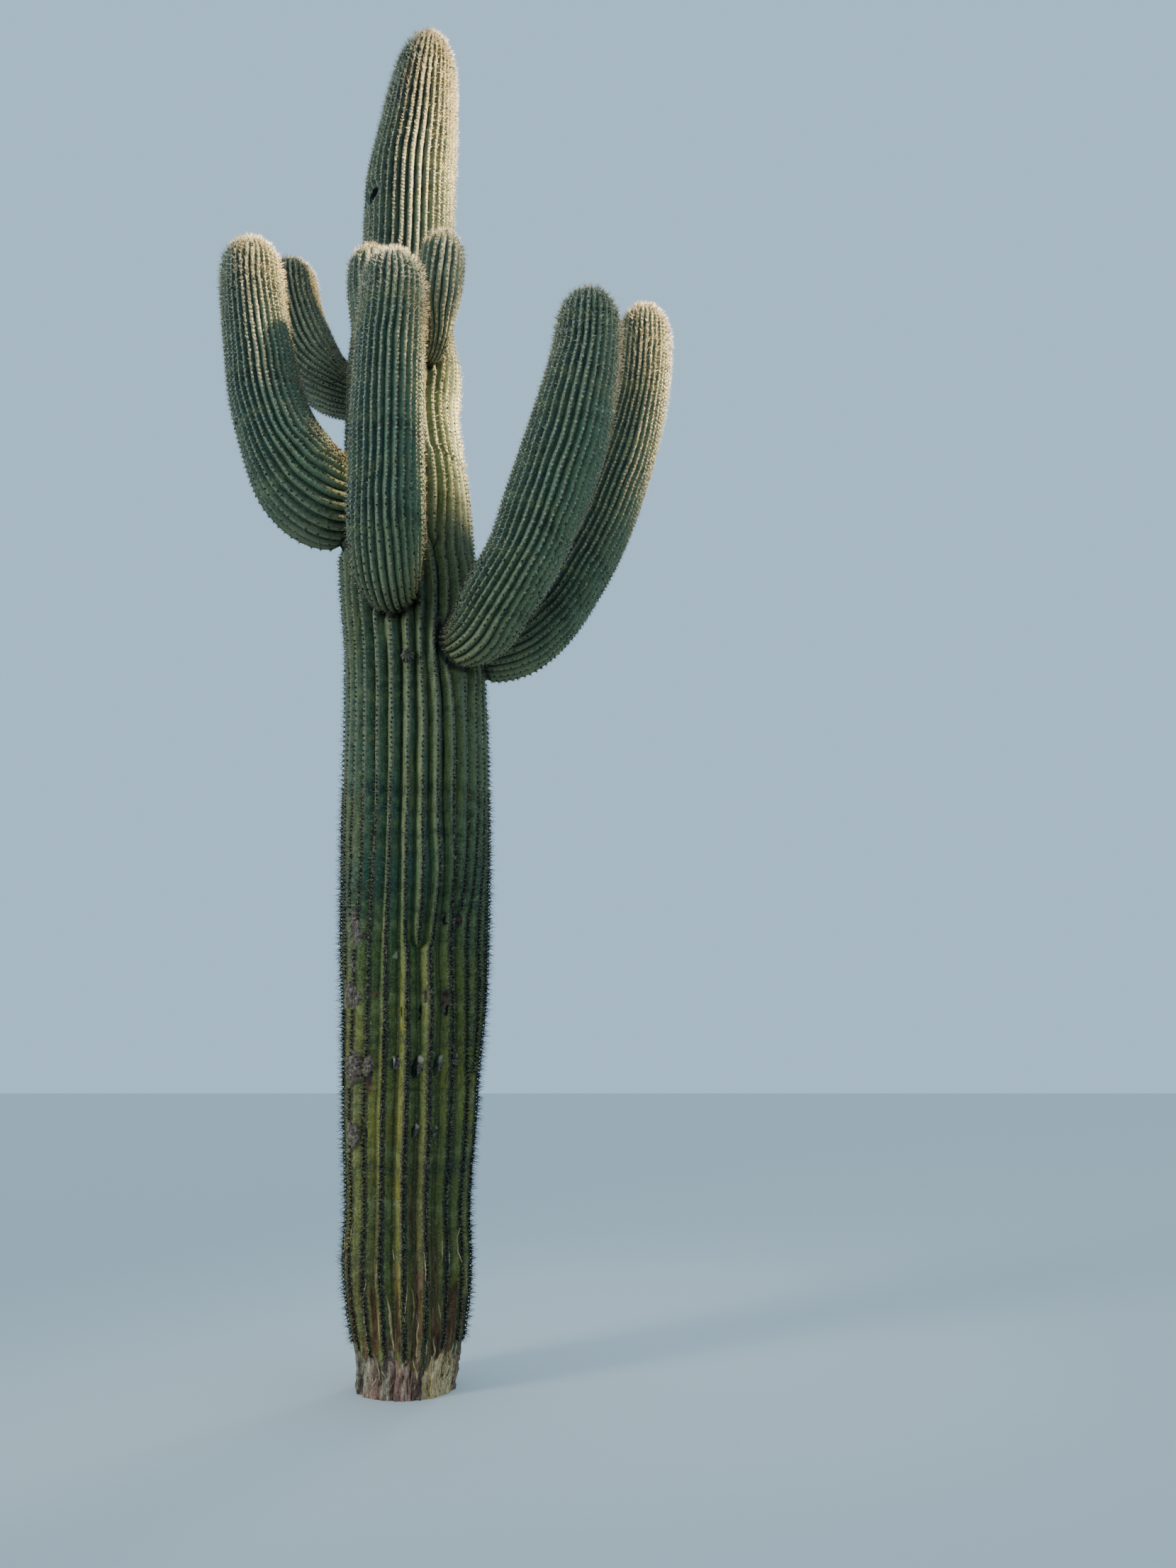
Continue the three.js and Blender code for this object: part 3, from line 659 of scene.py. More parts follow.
def build_arm(name):
    arm = ARMS[name]
    line, run, stations = arm["curve"], arm["run"], arm["stations"]
    length, dome = run[-1], arm["dome"]
    begin = 0.0
    s, step = [begin], 0.0076
    while s[-1] < length - dome - step * 0.6:
        s.append(s[-1] + step)
    s[-1] = length - dome
    rest = int(math.ceil(dome * 1.3 / 0.0072))
    for k in range(1, rest):
        s.append(length - dome + dome * math.sin(k / rest * math.pi / 2) ** (2 / 2.2))
    s = np.array(s)
    q = np.clip((s - (length - dome)) / dome, 0, 1)
    radius = along(stations, 1, s) * np.sqrt(np.maximum(0, 1 - q**2.2))
    middle = np.stack([np.interp(s, run, line[:, k]) for k in range(3)], 1)
    ahead = np.stack([np.interp(np.minimum(s + 0.004, length), run, line[:, k]) for k in range(3)], 1)
    behind = np.stack([np.interp(np.maximum(s - 0.004, 0), run, line[:, k]) for k in range(3)], 1)
    tangent = ahead - behind
    tangent /= np.linalg.norm(tangent, axis=1, keepdims=True)
    mean = math.radians(arm["line"][2][0])
    side = np.array([-math.sin(mean), math.cos(mean), 0])
    n = side - tangent * (tangent @ side)[:, None]
    n /= np.linalg.norm(n, axis=1, keepdims=True)
    b = np.cross(tangent, n)
    ribs = arm["ribs"]
    place = np.array([0, 0.12, 0.3, 0.5, 0.7, 0.88])
    rib = np.repeat(np.arange(ribs), len(place))
    t = np.tile(place, ribs)
    seed = 50 + list(ARMS).index(name) * 7
    turn = (rib - 0.25 + t) / ribs * TAU
    ss = np.repeat(s[:, None], len(t), 1)
    crowd = (0.34 if name in ELBOWED else 0.16) * smooth(0.75, 0.2, ss)
    a = turn[None, :] + crowd * np.cos(turn[None, :]) + TAU / ribs * (
        0.2 * noise(turn[None, :] / TAU * 5, ss * 3, seed, 5)
        + 0.1 * noise(turn[None, :] / TAU * 11, ss * 9, seed + 1, 11)
    )
    share = np.repeat((np.abs(2 * t - 1) ** 2.1)[None, :], len(s), 0)
    deep = ARM_GROOVE * (1 - 0.5 * q)[:, None]
    r = radius[:, None] * (1 - deep * share)
    body = (radius / 0.15)[:, None].clip(0, 1)
    ring = np.arange(len(s))[:, None]
    on = ((ring + (rib * 2 % 3)[None, :]) % 3 == 0).astype(float)
    near_crest = np.maximum(0, 1 - np.abs(t - 0.5) / 0.25)[None, :]
    r += near_crest * (on * 0.002 - 0.0008) * body
    r += 0.0022 * (1 - share) * noise(rib[None, :] * 1.7, ss * 4, seed + 2) * body
    # folds on the inner side of the bend, most of all near the root
    inner = smooth(0.1, 0.9, np.sin(a))
    bend = smooth(0.75, 0.3, ss) if name in ELBOWED or name == "arm_front" else smooth(0.4, 0.15, ss)
    slant = ss * 48 + 1.6 * noise(a * 3, ss * 5, seed + 3)
    r -= 0.0022 * bend * (0.25 + 0.75 * inner) * np.abs(np.sin(slant * math.pi))
    degrees, rr = np.degrees(a), np.repeat(radius[:, None], len(t), 1)
    knots, lift, _ = spots(degrees, ss, ARM_KNOTS.get(name, []), rr)
    r = r + 0.6 * knots * (rr * (1 - 0.3 * deep) - r) + lift
    rust, lift, _ = spots(degrees, ss, ARM_RUST.get(name, []), rr)
    r += lift
    slits, depth, _ = spots(degrees, ss, ARM_SLITS.get(name, []), rr)
    r -= depth
    cosa, sina = np.cos(a)[:, :, None], np.sin(a)[:, :, None]
    out = n[:, None] * cosa + b[:, None] * sina
    points = middle[:, None] + out * r[:, :, None]
    # a neck where it leaves the trunk
    tx = trunk_x(points[:, :, 2])
    off = np.hypot(points[:, :, 0] - tx, points[:, :, 1]) - trunk_crest(points[:, :, 2])[0]
    pinch = np.exp(-((off / 0.02) ** 2)) * smooth(0.9, 0.5, ss)
    r = r * (1 - 0.07 * pinch)
    points = middle[:, None] + out * r[:, :, None]
    layers = {
        "rib": 1 - share,
        "band": smooth(0.8, 0.97, 1 - np.abs(2 * t - 1)[None, :] ** 1.3 + 0.1 * noise(a * 9, ss * 60, seed + 4)),
        "side": np.repeat(1 - t[None, :], len(s), 0),
        "run": ss,
        "fold": bend * (0.25 + 0.75 * inner),
        "knot": knots,
        "rust": rust,
        # dark: the slits, and painted shade where the arm leaves the trunk
        "dark": np.maximum(slits, 0.8 * np.exp(-((off / 0.026) ** 2)) * smooth(0.9, 0.5, ss)),
        "pale": np.zeros_like(r),
    }
    crests = np.flatnonzero(t == 0.5)
    return dict(
        s=s, points=points, normals=grid_normals(points), layers=layers, crests=crests,
        rib=rib, tip=line[-1], off=off, length=length, knots=knots,
    )


# ---- materials ---------------------------------------------------------------
def socket(node, name):
    return next(x for x in node.inputs if x.name == name)


class Tree:
    """A short hand for making a material's nodes."""

    def __init__(self, name):
        self.material = bpy.data.materials.new(name)
        self.material.use_nodes = True
        self.tree = self.material.node_tree
        self.tree.nodes.clear()
        self.out = self.tree.nodes.new("ShaderNodeOutputMaterial")
        self.shader = self.tree.nodes.new("ShaderNodeBsdfPrincipled")
        self.tree.links.new(self.shader.outputs[0], self.out.inputs[0])

    def put(self, target, value):
        if isinstance(value, bpy.types.NodeSocket):
            self.tree.links.new(value, target)
        elif value is not None:
            target.default_value = value

    def layer(self, name):
        node = self.tree.nodes.new("ShaderNodeAttribute")
        node.attribute_name = name
        return node.outputs["Fac"]

    def place(self, scale=(1, 1, 1)):
        coord = self.tree.nodes.new("ShaderNodeTexCoord")
        node = self.tree.nodes.new("ShaderNodeMapping")
        self.tree.links.new(coord.outputs["Object"], node.inputs["Vector"])
        node.inputs["Scale"].default_value = scale
        return node.outputs["Vector"]

    def bend(self, value):
        """A vector that only changes with the value."""
        node = self.tree.nodes.new("ShaderNodeCombineXYZ")
        self.tree.links.new(value, node.inputs["X"])
        return node.outputs[0]

    def height(self):
        coord = self.tree.nodes.new("ShaderNodeTexCoord")
        node = self.tree.nodes.new("ShaderNodeSeparateXYZ")
        self.tree.links.new(coord.outputs["Object"], node.inputs[0])
        return node.outputs["Z"]

    def noise(self, scale, vector, detail=3.0, rough=0.55):
        node = self.tree.nodes.new("ShaderNodeTexNoise")
        node.inputs["Scale"].default_value = scale
        node.inputs["Detail"].default_value = detail
        node.inputs["Roughness"].default_value = rough
        self.put(node.inputs["Vector"], vector)
        return node.outputs["Fac"]

    def cells(self, scale, vector, feature="F1"):
        node = self.tree.nodes.new("ShaderNodeTexVoronoi")
        node.feature = feature
        node.inputs["Scale"].default_value = scale
        self.put(node.inputs["Vector"], vector)
        return node.outputs["Distance"]

    def math(self, how, a, b=None, c=None, clamp=False):
        node = self.tree.nodes.new("ShaderNodeMath")
        node.operation = how
        node.use_clamp = clamp
        for i, v in enumerate((a, b, c)):
            if v is not None:
                self.put(node.inputs[i], v)
        return node.outputs[0]

    def ramp(self, value, low, high, to_low=0.0, to_high=1.0, smoothly=True):
        node = self.tree.nodes.new("ShaderNodeMapRange")
        if smoothly:
            node.interpolation_type = "SMOOTHSTEP"
        self.put(node.inputs["Value"], value)
        node.inputs["From Min"].default_value = low
        node.inputs["From Max"].default_value = high
        node.inputs["To Min"].default_value = to_low
        node.inputs["To Max"].default_value = to_high
        return node.outputs["Result"]

    def colours(self, value, stops):
        node = self.tree.nodes.new("ShaderNodeValToRGB")
        ramp = node.color_ramp
        while len(ramp.elements) < len(stops):
            ramp.elements.new(0.5)
        for element, (at, code) in zip(ramp.elements, stops):
            element.position = at
            element.color = (*linear(code), 1)
        self.put(node.inputs["Fac"], value)
        return node.outputs["Color"]

    def mix(self, share, a, b, how="MIX"):
        node = self.tree.nodes.new("ShaderNodeMix")
        node.data_type = "RGBA"
        node.blend_type = how
        self.put(node.inputs["Factor"], share)
        for name, v in (("A", a), ("B", b)):
            target = [s for s in node.inputs if s.name == name and s.type == "RGBA"][0]
            if isinstance(v, str):
                v = (*linear(v), 1)
            self.put(target, v)
        return [s for s in node.outputs if s.type == "RGBA"][0]

    def bump(self, heights, strength, distance, after=None):
        node = self.tree.nodes.new("ShaderNodeBump")
        node.inputs["Strength"].default_value = strength
        node.inputs["Distance"].default_value = distance
        self.put(node.inputs["Height"], heights)
        if after is not None:
            self.tree.links.new(after, node.inputs["Normal"])
        return node.outputs["Normal"]


def flesh(name, trunk):
    t = Tree(name)
    rib, side, run, fold = t.layer("rib"), t.layer("side"), t.layer("run"), t.layer("fold")
    band = t.layer("band")
    knot, rust, dark, pale = t.layer("knot"), t.layer("rust"), t.layer("dark"), t.layer("pale")
    z = t.height()
    plain = t.place()
    tall = t.place((1, 1, 0.16))
    broad = t.noise(3.2, plain, 3)
    fine = t.noise(38, plain, 4)
    speck = t.noise(130, plain, 3)
    lines = t.noise(46, tall, 4)
    # flesh by height: green below, grey-green in the middle, tan-green above
    share = t.ramp(z, 0.0, 7.34, smoothly=False) if trunk else t.ramp(z, 3.2, 6.1, smoothly=False)
    # left and right are lit and shaded copies of each flesh colour: painted light on the left flanks, painted shade on
    # the right flanks; sunk holds the painted shade of the grooves
    if trunk:
        left = [(0.0, "#5f5f1d"), (0.2, "#5f6321"), (0.31, "#61764b"), (0.42, "#757a49"), (0.6, "#67735a"), (0.8, "#5c6a5c"), (1.0, "#504b38")]
        right = [(0.0, "#4e4f1b"), (0.2, "#444f20"), (0.26, "#385529"), (0.31, "#345c4e"), (0.42, "#3e5a44"), (0.6, "#435a50"), (0.8, "#47584f"), (1.0, "#36302a")]
        sunk = [(0.0, "#242611"), (0.22, "#1a2a18"), (0.34, "#0c1a14"), (0.5, "#101c17"), (0.62, "#1d2d28"), (0.84, "#303b34"), (0.95, "#1f1712")]
        worn = [(0.0, "#16130f"), (0.28, "#1c1d16"), (0.42, "#75735a"), (0.62, "#8c8662"), (0.8, "#979070"), (1.0, "#8f8562")]
    else:
        left = [(0.0, "#6b7d54"), (0.35, "#5f7d60"), (0.7, "#5f7362"), (1.0, "#554c33")]
        right = [(0.0, "#2c473a"), (0.35, "#254341"), (0.7, "#32494a"), (1.0, "#3b3324")]
        sunk = [(0.0, "#0e1b16"), (0.6, "#11201d"), (0.8, "#1d1b16"), (1.0, "#1f1712")]
        worn = [(0.0, "#7f7855"), (0.3, "#757a58"), (0.7, "#858464"), (1.0, "#8f8562")]
    # painted light and shade: the left flank of each rib takes the lit colours, the right flank the shaded ones
    painted_lit_flank = t.ramp(t.math("ADD", side, t.ramp(broad, 0.3, 0.7, -0.12, 0.12)), 0.34, 0.66)
    colour = t.mix(painted_lit_flank, t.colours(share, right), t.colours(share, left))
    if trunk:
        # painted sunlight from the painted_sun layer, then yellow lengths low down: partly the flesh's own colour, and
        # stronger on the left flanks as painted light
        patch = t.noise(3.6, t.place((1, 1, 0.5)), 4)
        colour = t.mix(t.math("MULTIPLY", t.layer("painted_sun"), t.ramp(patch, 0.42, 0.58, 0.1, 0.8)), colour, "#7d7426")
        low = t.math("MULTIPLY", t.ramp(patch, 0.44, 0.6), t.ramp(z, 2.1, 1.5, 0.0, 0.75))
        colour = t.mix(t.math("MULTIPLY", low, t.ramp(side, 0.25, 0.5, 0.35, 1.0)), colour, "#7f7a1d")
    # slow bands across the ribs, then mottling and faint streaks along them
    zone = t.noise(1.0, t.bend(t.math("ADD", t.math("MULTIPLY", run, 11.0), t.ramp(broad, 0.3, 0.7, -0.5, 0.5))), 2)
    colour = t.mix(t.ramp(zone, 0.5, 0.66, 0.0, 0.5), colour, "#808858")
    colour = t.mix(t.ramp(zone, 0.5, 0.35, 0.0, 0.58), colour, "#1c2a22")
    thin = t.noise(120, t.place((1, 1, 0.09)), 3, 0.6)
    colour = t.mix(t.ramp(thin, 0.5, 0.68, 0.0, 0.4), colour, "#33331b")
    colour = t.mix(t.ramp(thin, 0.46, 0.34, 0.0, 0.25), colour, "#8a8a55")
    colour = t.mix(t.ramp(broad, 0.4, 0.7, 0.0, 0.25), colour, "#5f6834")
    colour = t.mix(t.ramp(fine, 0.46, 0.32, 0.0, 0.4), colour, "#1d2b1e")
    colour = t.mix(t.ramp(fine, 0.54, 0.7, 0.0, 0.35), colour, "#8b8f5c")
    colour = t.mix(t.ramp(t.noise(9, tall, 4), 0.5, 0.78, 0.0, 0.45), colour, "#283b26")
    if trunk:  # olive patches among the arms, tan and brown lengths low down
        olive = t.ramp(t.noise(4.5, t.place((1, 1, 0.35)), 3), 0.47, 0.6)
        olive = t.math("MULTIPLY", olive, t.math("MULTIPLY", t.ramp(z, 2.1, 2.7), t.ramp(z, 5.2, 3.9, 0.0, 0.6)))
        colour = t.mix(olive, colour, t.mix(t.ramp(lines, 0.4, 0.6), "#3f4722", "#7c8144"))
        tan = t.ramp(t.noise(5.5, t.place((1, 1, 0.3)), 3), 0.48, 0.6)
        tan = t.math("MULTIPLY", tan, t.ramp(z, 1.9, 0.5, 0.0, 0.6))
        colour = t.mix(tan, colour, t.mix(t.ramp(lines, 0.4, 0.6), "#3d3013", "#6b5a2e"))
    # painted shade: the grooves take the darker sunk colours, less so low on the trunk
    depth = t.ramp(t.math("ADD", rib, t.ramp(lines, 0.3, 0.7, -0.08, 0.08)), 0.0, 0.3 if trunk else 0.42)
    if trunk:
        depth = t.math("MAXIMUM", depth, t.ramp(z, 2.1, 3.0, 0.5, 0.0))
    colour = t.mix(depth, t.colours(share, sunk), colour)
    # painted light: a pale highlight along the left of each crest, and a strip of painted shade to its right
    edge = t.math("MULTIPLY", t.ramp(side, 0.5, 0.58), t.ramp(side, 0.7, 0.61))
    strip = t.math("MULTIPLY", t.ramp(side, 0.5, 0.42), t.ramp(side, 0.22, 0.34))
    if trunk:
        high = t.ramp(z, 1.9, 2.8)
        edge, strip = t.math("MULTIPLY", edge, high), t.math("MULTIPLY", strip, high)
    broken = t.ramp(lines, 0.35, 0.6, 0.15, 0.5)
    colour = t.mix(t.math("MULTIPLY", edge, broken), colour, "#98a07c")
    colour = t.mix(t.math("MULTIPLY", strip, broken), colour, "#17211c")
    # drier skin along the crests
    crest = t.math("ADD", t.ramp(fine, 0.3, 0.7, -0.1, 0.1), t.ramp(speck, 0.35, 0.65, -0.22, 0.22))
    crest = t.ramp(t.math("ADD", band, crest), 0.25, 0.9, 0.0, 0.85)
    colour = t.mix(crest, colour, t.colours(share, worn))
    colour = t.mix(t.ramp(speck, 0.53, 0.68, 0.0, 0.5), colour, "#1f281a")
    colour = t.mix(t.ramp(speck, 0.46, 0.32, 0.0, 0.35), colour, "#8d9268")
    colour = t.mix(t.ramp(t.noise(70, plain, 2), 0.62, 0.76, 0.0, 0.3), colour, "#8f8b62")
    if not trunk:  # pale worn ribs where an arm starts, and painted shade darkening its grooves there
        foot = t.ramp(t.math("ADD", run, t.ramp(broad, 0.3, 0.7, -0.12, 0.12)), 0.18, 0.62, 1.0, 0.0)
        shown = t.ramp(rib, 0.45, 0.8)
        colour = t.mix(t.math("MULTIPLY", foot, t.math("MULTIPLY", shown, 0.6)), colour, "#85805a")
        colour = t.mix(t.math("MULTIPLY", foot, t.ramp(rib, 0.5, 0.1, 0.0, 0.85)), colour, "#0e110c")
    # fine wrinkles across the ribs, their creases painted darker as shade
    wave = t.math("SINE", t.math("ADD", t.math("MULTIPLY", run, 560.0), t.math("MULTIPLY", t.noise(14, plain, 3), 16.0)))
    crossed = t.math("MULTIPLY", t.ramp(wave, 0.2, 0.95), t.math("MULTIPLY", fold, t.ramp(broad, 0.35, 0.6, 0.35, 1.0)))
    colour = t.mix(t.math("MULTIPLY", crossed, 0.55), colour, "#1c241a")
    bark = None
    if trunk:
        bark, collar = t.layer("bark"), t.layer("collar")
        cork = t.colours(
            t.noise(22, tall, 5, 0.65),
            [(0.3, "#24160d"), (0.45, "#4a301b"), (0.58, "#6e4e33"), (0.74, "#93806a")],
        )
        grain = t.noise(17, t.place((1, 1, 0.22)), 5, 0.7)
        mauve = t.colours(grain, [(0.3, "#2a1c18"), (0.44, "#654940"), (0.58, "#8e6b5c"), (0.74, "#bba08b")])
        grey = t.colours(grain, [(0.3, "#1f1d19"), (0.44, "#544f45"), (0.58, "#8a816e"), (0.74, "#c4b89d")])
        foot = t.mix(t.ramp(t.noise(3.4, t.place((1, 1, 0.4)), 2), 0.42, 0.56), grey, mauve)
        beige = t.colours(grain, [(0.3, "#3d2a18"), (0.42, "#a08050"), (0.56, "#dcbd8a"), (0.74, "#f6e2b6")])
        foot = t.mix(t.ramp(t.math("ADD", t.layer("fibre"), t.ramp(fine, 0.3, 0.7, -0.2, 0.2)), 0.3, 0.6), foot, beige)
        crumbs = t.noise(95, plain, 5, 0.75)
        foot = t.mix(t.ramp(crumbs, 0.46, 0.36, 0.0, 0.75), foot, "#1d1511")
        foot = t.mix(t.ramp(crumbs, 0.56, 0.7, 0.0, 0.55), foot, "#b3a288")
        cork = t.mix(t.ramp(crumbs, 0.48, 0.38, 0.0, 0.6), cork, "#1b120b")
        fissure = t.noise(75, t.place((1, 1, 0.14)), 4, 0.7)
        foot = t.mix(t.ramp(fissure, 0.47, 0.36, 0.0, 0.7), foot, "#231914")
        foot = t.mix(t.ramp(fissure, 0.55, 0.68, 0.0, 0.45), foot, "#d9c8a6")
        cork = t.mix(t.ramp(fissure, 0.47, 0.36, 0.0, 0.6), cork, "#1b120b")
        cork = t.mix(t.ramp(fissure, 0.54, 0.66, 0.0, 0.5), cork, "#8f7a58")
        cork = t.mix(t.ramp(collar, 0.3, 0.8), cork, foot)
        amount = t.ramp(t.math("ADD", bark, t.ramp(lines, 0.3, 0.7, -0.25, 0.25)), 0.35, 0.7)
        colour = t.mix(amount, colour, cork)
    scar = t.colours(
        t.noise(60, plain, 5, 0.7),
        [(0.3, "#14100d"), (0.42, "#352d29"), (0.56, "#625852"), (0.75, "#968d84")],
    )
    colour = t.mix(t.ramp(t.math("ADD", knot, t.ramp(fine, 0.3, 0.7, -0.2, 0.2)), 0.25, 0.6), colour, scar)
    colour = t.mix(t.ramp(rust, 0.25, 0.7, 0.0, 0.9), colour, t.mix(t.ramp(fine, 0.35, 0.65), "#2e1a10", "#6e4a34"))
    colour = t.mix(t.ramp(pale, 0.3, 0.7), colour, "#a39c7e")
    colour = t.mix(t.ramp(dark, 0.25, 0.95), colour, "#100d0a")
    t.put(t.shader.inputs["Base Color"], colour)
    rough = t.ramp(fine, 0.3, 0.7, 0.52, 0.74)
    rough = t.math("MAXIMUM", rough, t.ramp(knot, 0.2, 0.6, 0, 0.92))
    if trunk:
        rough = t.math("MAXIMUM", rough, t.ramp(bark, 0.35, 0.7, 0, 0.92))
    t.put(t.shader.inputs["Roughness"], rough)
    t.shader.inputs["Specular IOR Level"].default_value = 0.35
    normal = t.bump(fine, 0.4, 0.004)
    normal = t.bump(lines, 0.4, 0.003, normal)
    normal = t.bump(speck, 0.35, 0.0015, normal)
    normal = t.bump(t.math("SUBTRACT", 1.0, crossed), 0.5, 0.003, normal)
    t.put(t.shader.inputs["Normal"], normal)
    return t.material


def plain_material(name, code, rough):
    t = Tree(name)
    t.shader.inputs["Base Color"].default_value = (*linear(code), 1)
    t.shader.inputs["Roughness"].default_value = rough
    t.shader.inputs["Specular IOR Level"].default_value = 0.3
    return t.material


# ---- camera ------------------------------------------------------------------
camera = bpy.data.objects.new("camera", bpy.data.cameras.new("camera"))
camera.data.lens = 1661 * 36 / 2212
camera.data.sensor_width = 36
camera.data.clip_end = 200
camera.location = (0.818, -5.763, 1.40)
camera.rotation_euler = (math.radians(90 + 13.5), 0, 0)
bpy.context.scene.collection.objects.link(camera)
bpy.context.scene.camera = camera

# ---- skins -------------------------------------------------------------------
trunk_flesh = flesh("trunk_flesh", True)
arm_flesh = flesh("arm_flesh", False)

z, trunk_angle, points, normals, layers, trunk_r, trunk_knots = build_trunk()
SECTIONS = 4
cuts = [0, *[int(np.argmin(np.abs(z - 7.34 * k / SECTIONS))) for k in range(1, SECTIONS)], len(z) - 1]
for k in range(SECTIONS):
    rows = slice(cuts[k], cuts[k + 1] + 1)
    last = k == SECTIONS - 1
    part = points[rows]
    height = z[rows]
    v = (height - height[0]) / ((TRUNK_TIP[1] if last else height[-1]) - height[0])
    skin(
        f"trunk_skin_{k + 1}", part, normals[rows], v,
        {key: value[rows] for key, value in layers.items()},
        trunk_flesh, ["trunk"],
        ends=(None, (TRUNK_TIP[0], 0, TRUNK_TIP[1]) if last else None),
    )

arms = {}
for name in ARMS:
    made = build_arm(name)
    arms[name] = made
    nodes = [f"{name}_lower", f"{name}_upper"] if name in ELBOWED else [name]
    skin(
        f"{name}_skin", made["points"], made["normals"], made["s"] / made["length"],
        made["layers"], arm_flesh, nodes, ends=(None, made["tip"]),
    )

# ---- bud ---------------------------------------------------------------------
def build_bud():
    """A low knob with ribs that run together on its top, which points outwards."""
    a = math.radians(BUD["azimuth"])
    out = np.array([math.cos(a), math.sin(a), 0.0])
    side = np.array([-math.sin(a), math.cos(a), 0.0])
    skin_r = float(along(TRUNK_LINE, 2, BUD["height"]))
    middle = np.array([float(trunk_x(np.array(BUD["height"]))), 0, BUD["height"]])
    middle = middle + out * (skin_r + BUD["out"] - BUD["radius"])
    ribs, rings = 9, 16
    place = np.array([0, 0.14, 0.32, 0.5, 0.68, 0.86])
    t = np.tile(place, ribs)
    turn = (np.repeat(np.arange(ribs), len(place)) + t) / ribs * TAU
    share = np.abs(2 * t - 1) ** 1.6
    phi = np.linspace(-0.45, math.pi / 2 - 0.06, rings)[:, None]
    r = 1.13 * BUD["radius"] * (1 - 0.22 * share[None, :] * np.cos(phi).clip(0, 1) ** 0.5)
    flat = r * np.cos(phi)
    up = np.array([0, 0, 1.0])
    # a little taller than wide, and it leans upwards
    points = (
        middle
        + side * (flat * np.cos(turn))[:, :, None]
        + up * (flat * np.sin(turn) * 1.05 + 0.12 * r * np.sin(phi))[:, :, None]
        + out * (r * np.sin(phi))[:, :, None]
    )
    keys = ("side", "run", "fold", "rust", "pale")
    layers = {k: np.zeros_like(r) for k in keys}
    layers["rib"] = np.repeat(1 - share[None, :], rings, 0)
    layers["band"] = layers["rib"] ** 4
    layers["knot"] = 0.55 + 0.3 * noise(turn * 4, phi * 6, 71)
    # painted shade: the bud's grooves are darker
    layers["dark"] = 0.85 * np.repeat(share[None, :] ** 2, rings, 0)
    normals = grid_normals(points)
    if ((points - middle) * normals).sum() < 0:
        points = points[:, ::-1]
        layers = {k: v[:, ::-1] for k, v in layers.items()}
        normals = grid_normals(points)
    tip = middle + out * BUD["radius"] + up * 0.12 * BUD["radius"]
    skin(
        "arm_bud_skin", points, normals, np.linspace(0, 1, rings), layers,
        arm_flesh, ["arm_bud"], ends=(None, tip),
    )


build_bud()


# ---- raised seams of cork round the foot -----------------------------------------
# azimuths and heights along each seam, then its width
SEAMS = [
    ([(239, 0.5), (230.5, 0.33), (236, 0.23)], 0.007),
    ([(259, 0.44), (262, 0.3), (263.5, 0.2)], 0.012),
    ([(282.8, 0.46), (284.2, 0.38), (283.3, 0.3)], 0.009),
    ([(339, 0.75), (330.7, 0.65), (331.4, 0.59), (338.5, 0.5), (335, 0.45)], 0.006),
    ([(316, 0.53), (316, 0.44), (320.5, 0.37)], 0.007),
    ([(293, 0.62), (295, 0.47)], 0.005), ([(311.4, 0.66), (312, 0.58)], 0.005),
    ([(201, 0.3), (213, 0.17)], 0.007), ([(297.5, 0.25), (297, 0.17)], 0.006),
    ([(308, 0.4), (311.6, 0.31)], 0.006), ([(264, 0.62), (266, 0.57)], 0.005),
    ([(278.3, 0.48), (274.4, 0.27)], 0.005), ([(247, 0.36), (249, 0.2)], 0.005),
]


def seam(azimuths, heights, wide, wobble, seed):
    """A low closed ridge that lies along the trunk's skin and thins out at both ends."""
    count = max(6, int((max(heights) - min(heights)) / 0.012))
    u = np.linspace(0, 1, count)
    at = np.linspace(0, 1, len(heights))
    h = np.interp(u, at, heights)
    az = np.interp(u, at, azimuths) + wobble * noise(h * 26, seed * 1.3, 81)
    ends = np.sin(u * math.pi) ** 0.7
    place, out = [], []
    for a, level in zip(az, h):
        j = int(np.clip(np.searchsorted(z, level), 1, len(z) - 1))
        f = (level - z[j - 1]) / (z[j] - z[j - 1])
        row = points[j - 1] * (1 - f) + points[j] * f
        way = normals[j - 1] * (1 - f) + normals[j] * f
        gaps = turned(trunk_angle[j] - a)
        left = np.where(gaps <= 0, gaps, -999).argmax()
        right = (left + 1) % len(gaps)
        width = turned(trunk_angle[j, right] - trunk_angle[j, left])
        share = np.clip(-gaps[left] / width, 0, 1)
        place.append(row[left] * (1 - share) + row[right] * share)
        out.append(way[left] * (1 - share) + way[right] * share)
    place, out = np.array(place), unit(np.array(out))
    along_it = unit(np.gradient(place, axis=0))
    side = unit(np.cross(along_it, out))
    half = (wide * 0.7 * (0.15 + 0.85 * ends) * (1 + 0.35 * noise(h * 60, seed * 2.1, 82)))[:, None]
    tall = (wide * 0.42 * ends)[:, None]
    loop = np.stack([place + side * half, place + out * tall + side * half * 0.2, place - side * half, place - out * 0.003], 1)
    verts = loop.reshape(-1, 3)
    faces = []
    for k in range(count - 1):
        for c in range(4):
            a, b = k * 4 + c, k * 4 + (c + 1) % 4
            faces += [[a, b + 4, b], [a, a + 4, b + 4]]
    last = (count - 1) * 4
    faces += [[0, 1, 2], [0, 2, 3], [last, last + 2, last + 1], [last, last + 3, last + 2]]
    return verts, np.array(faces)


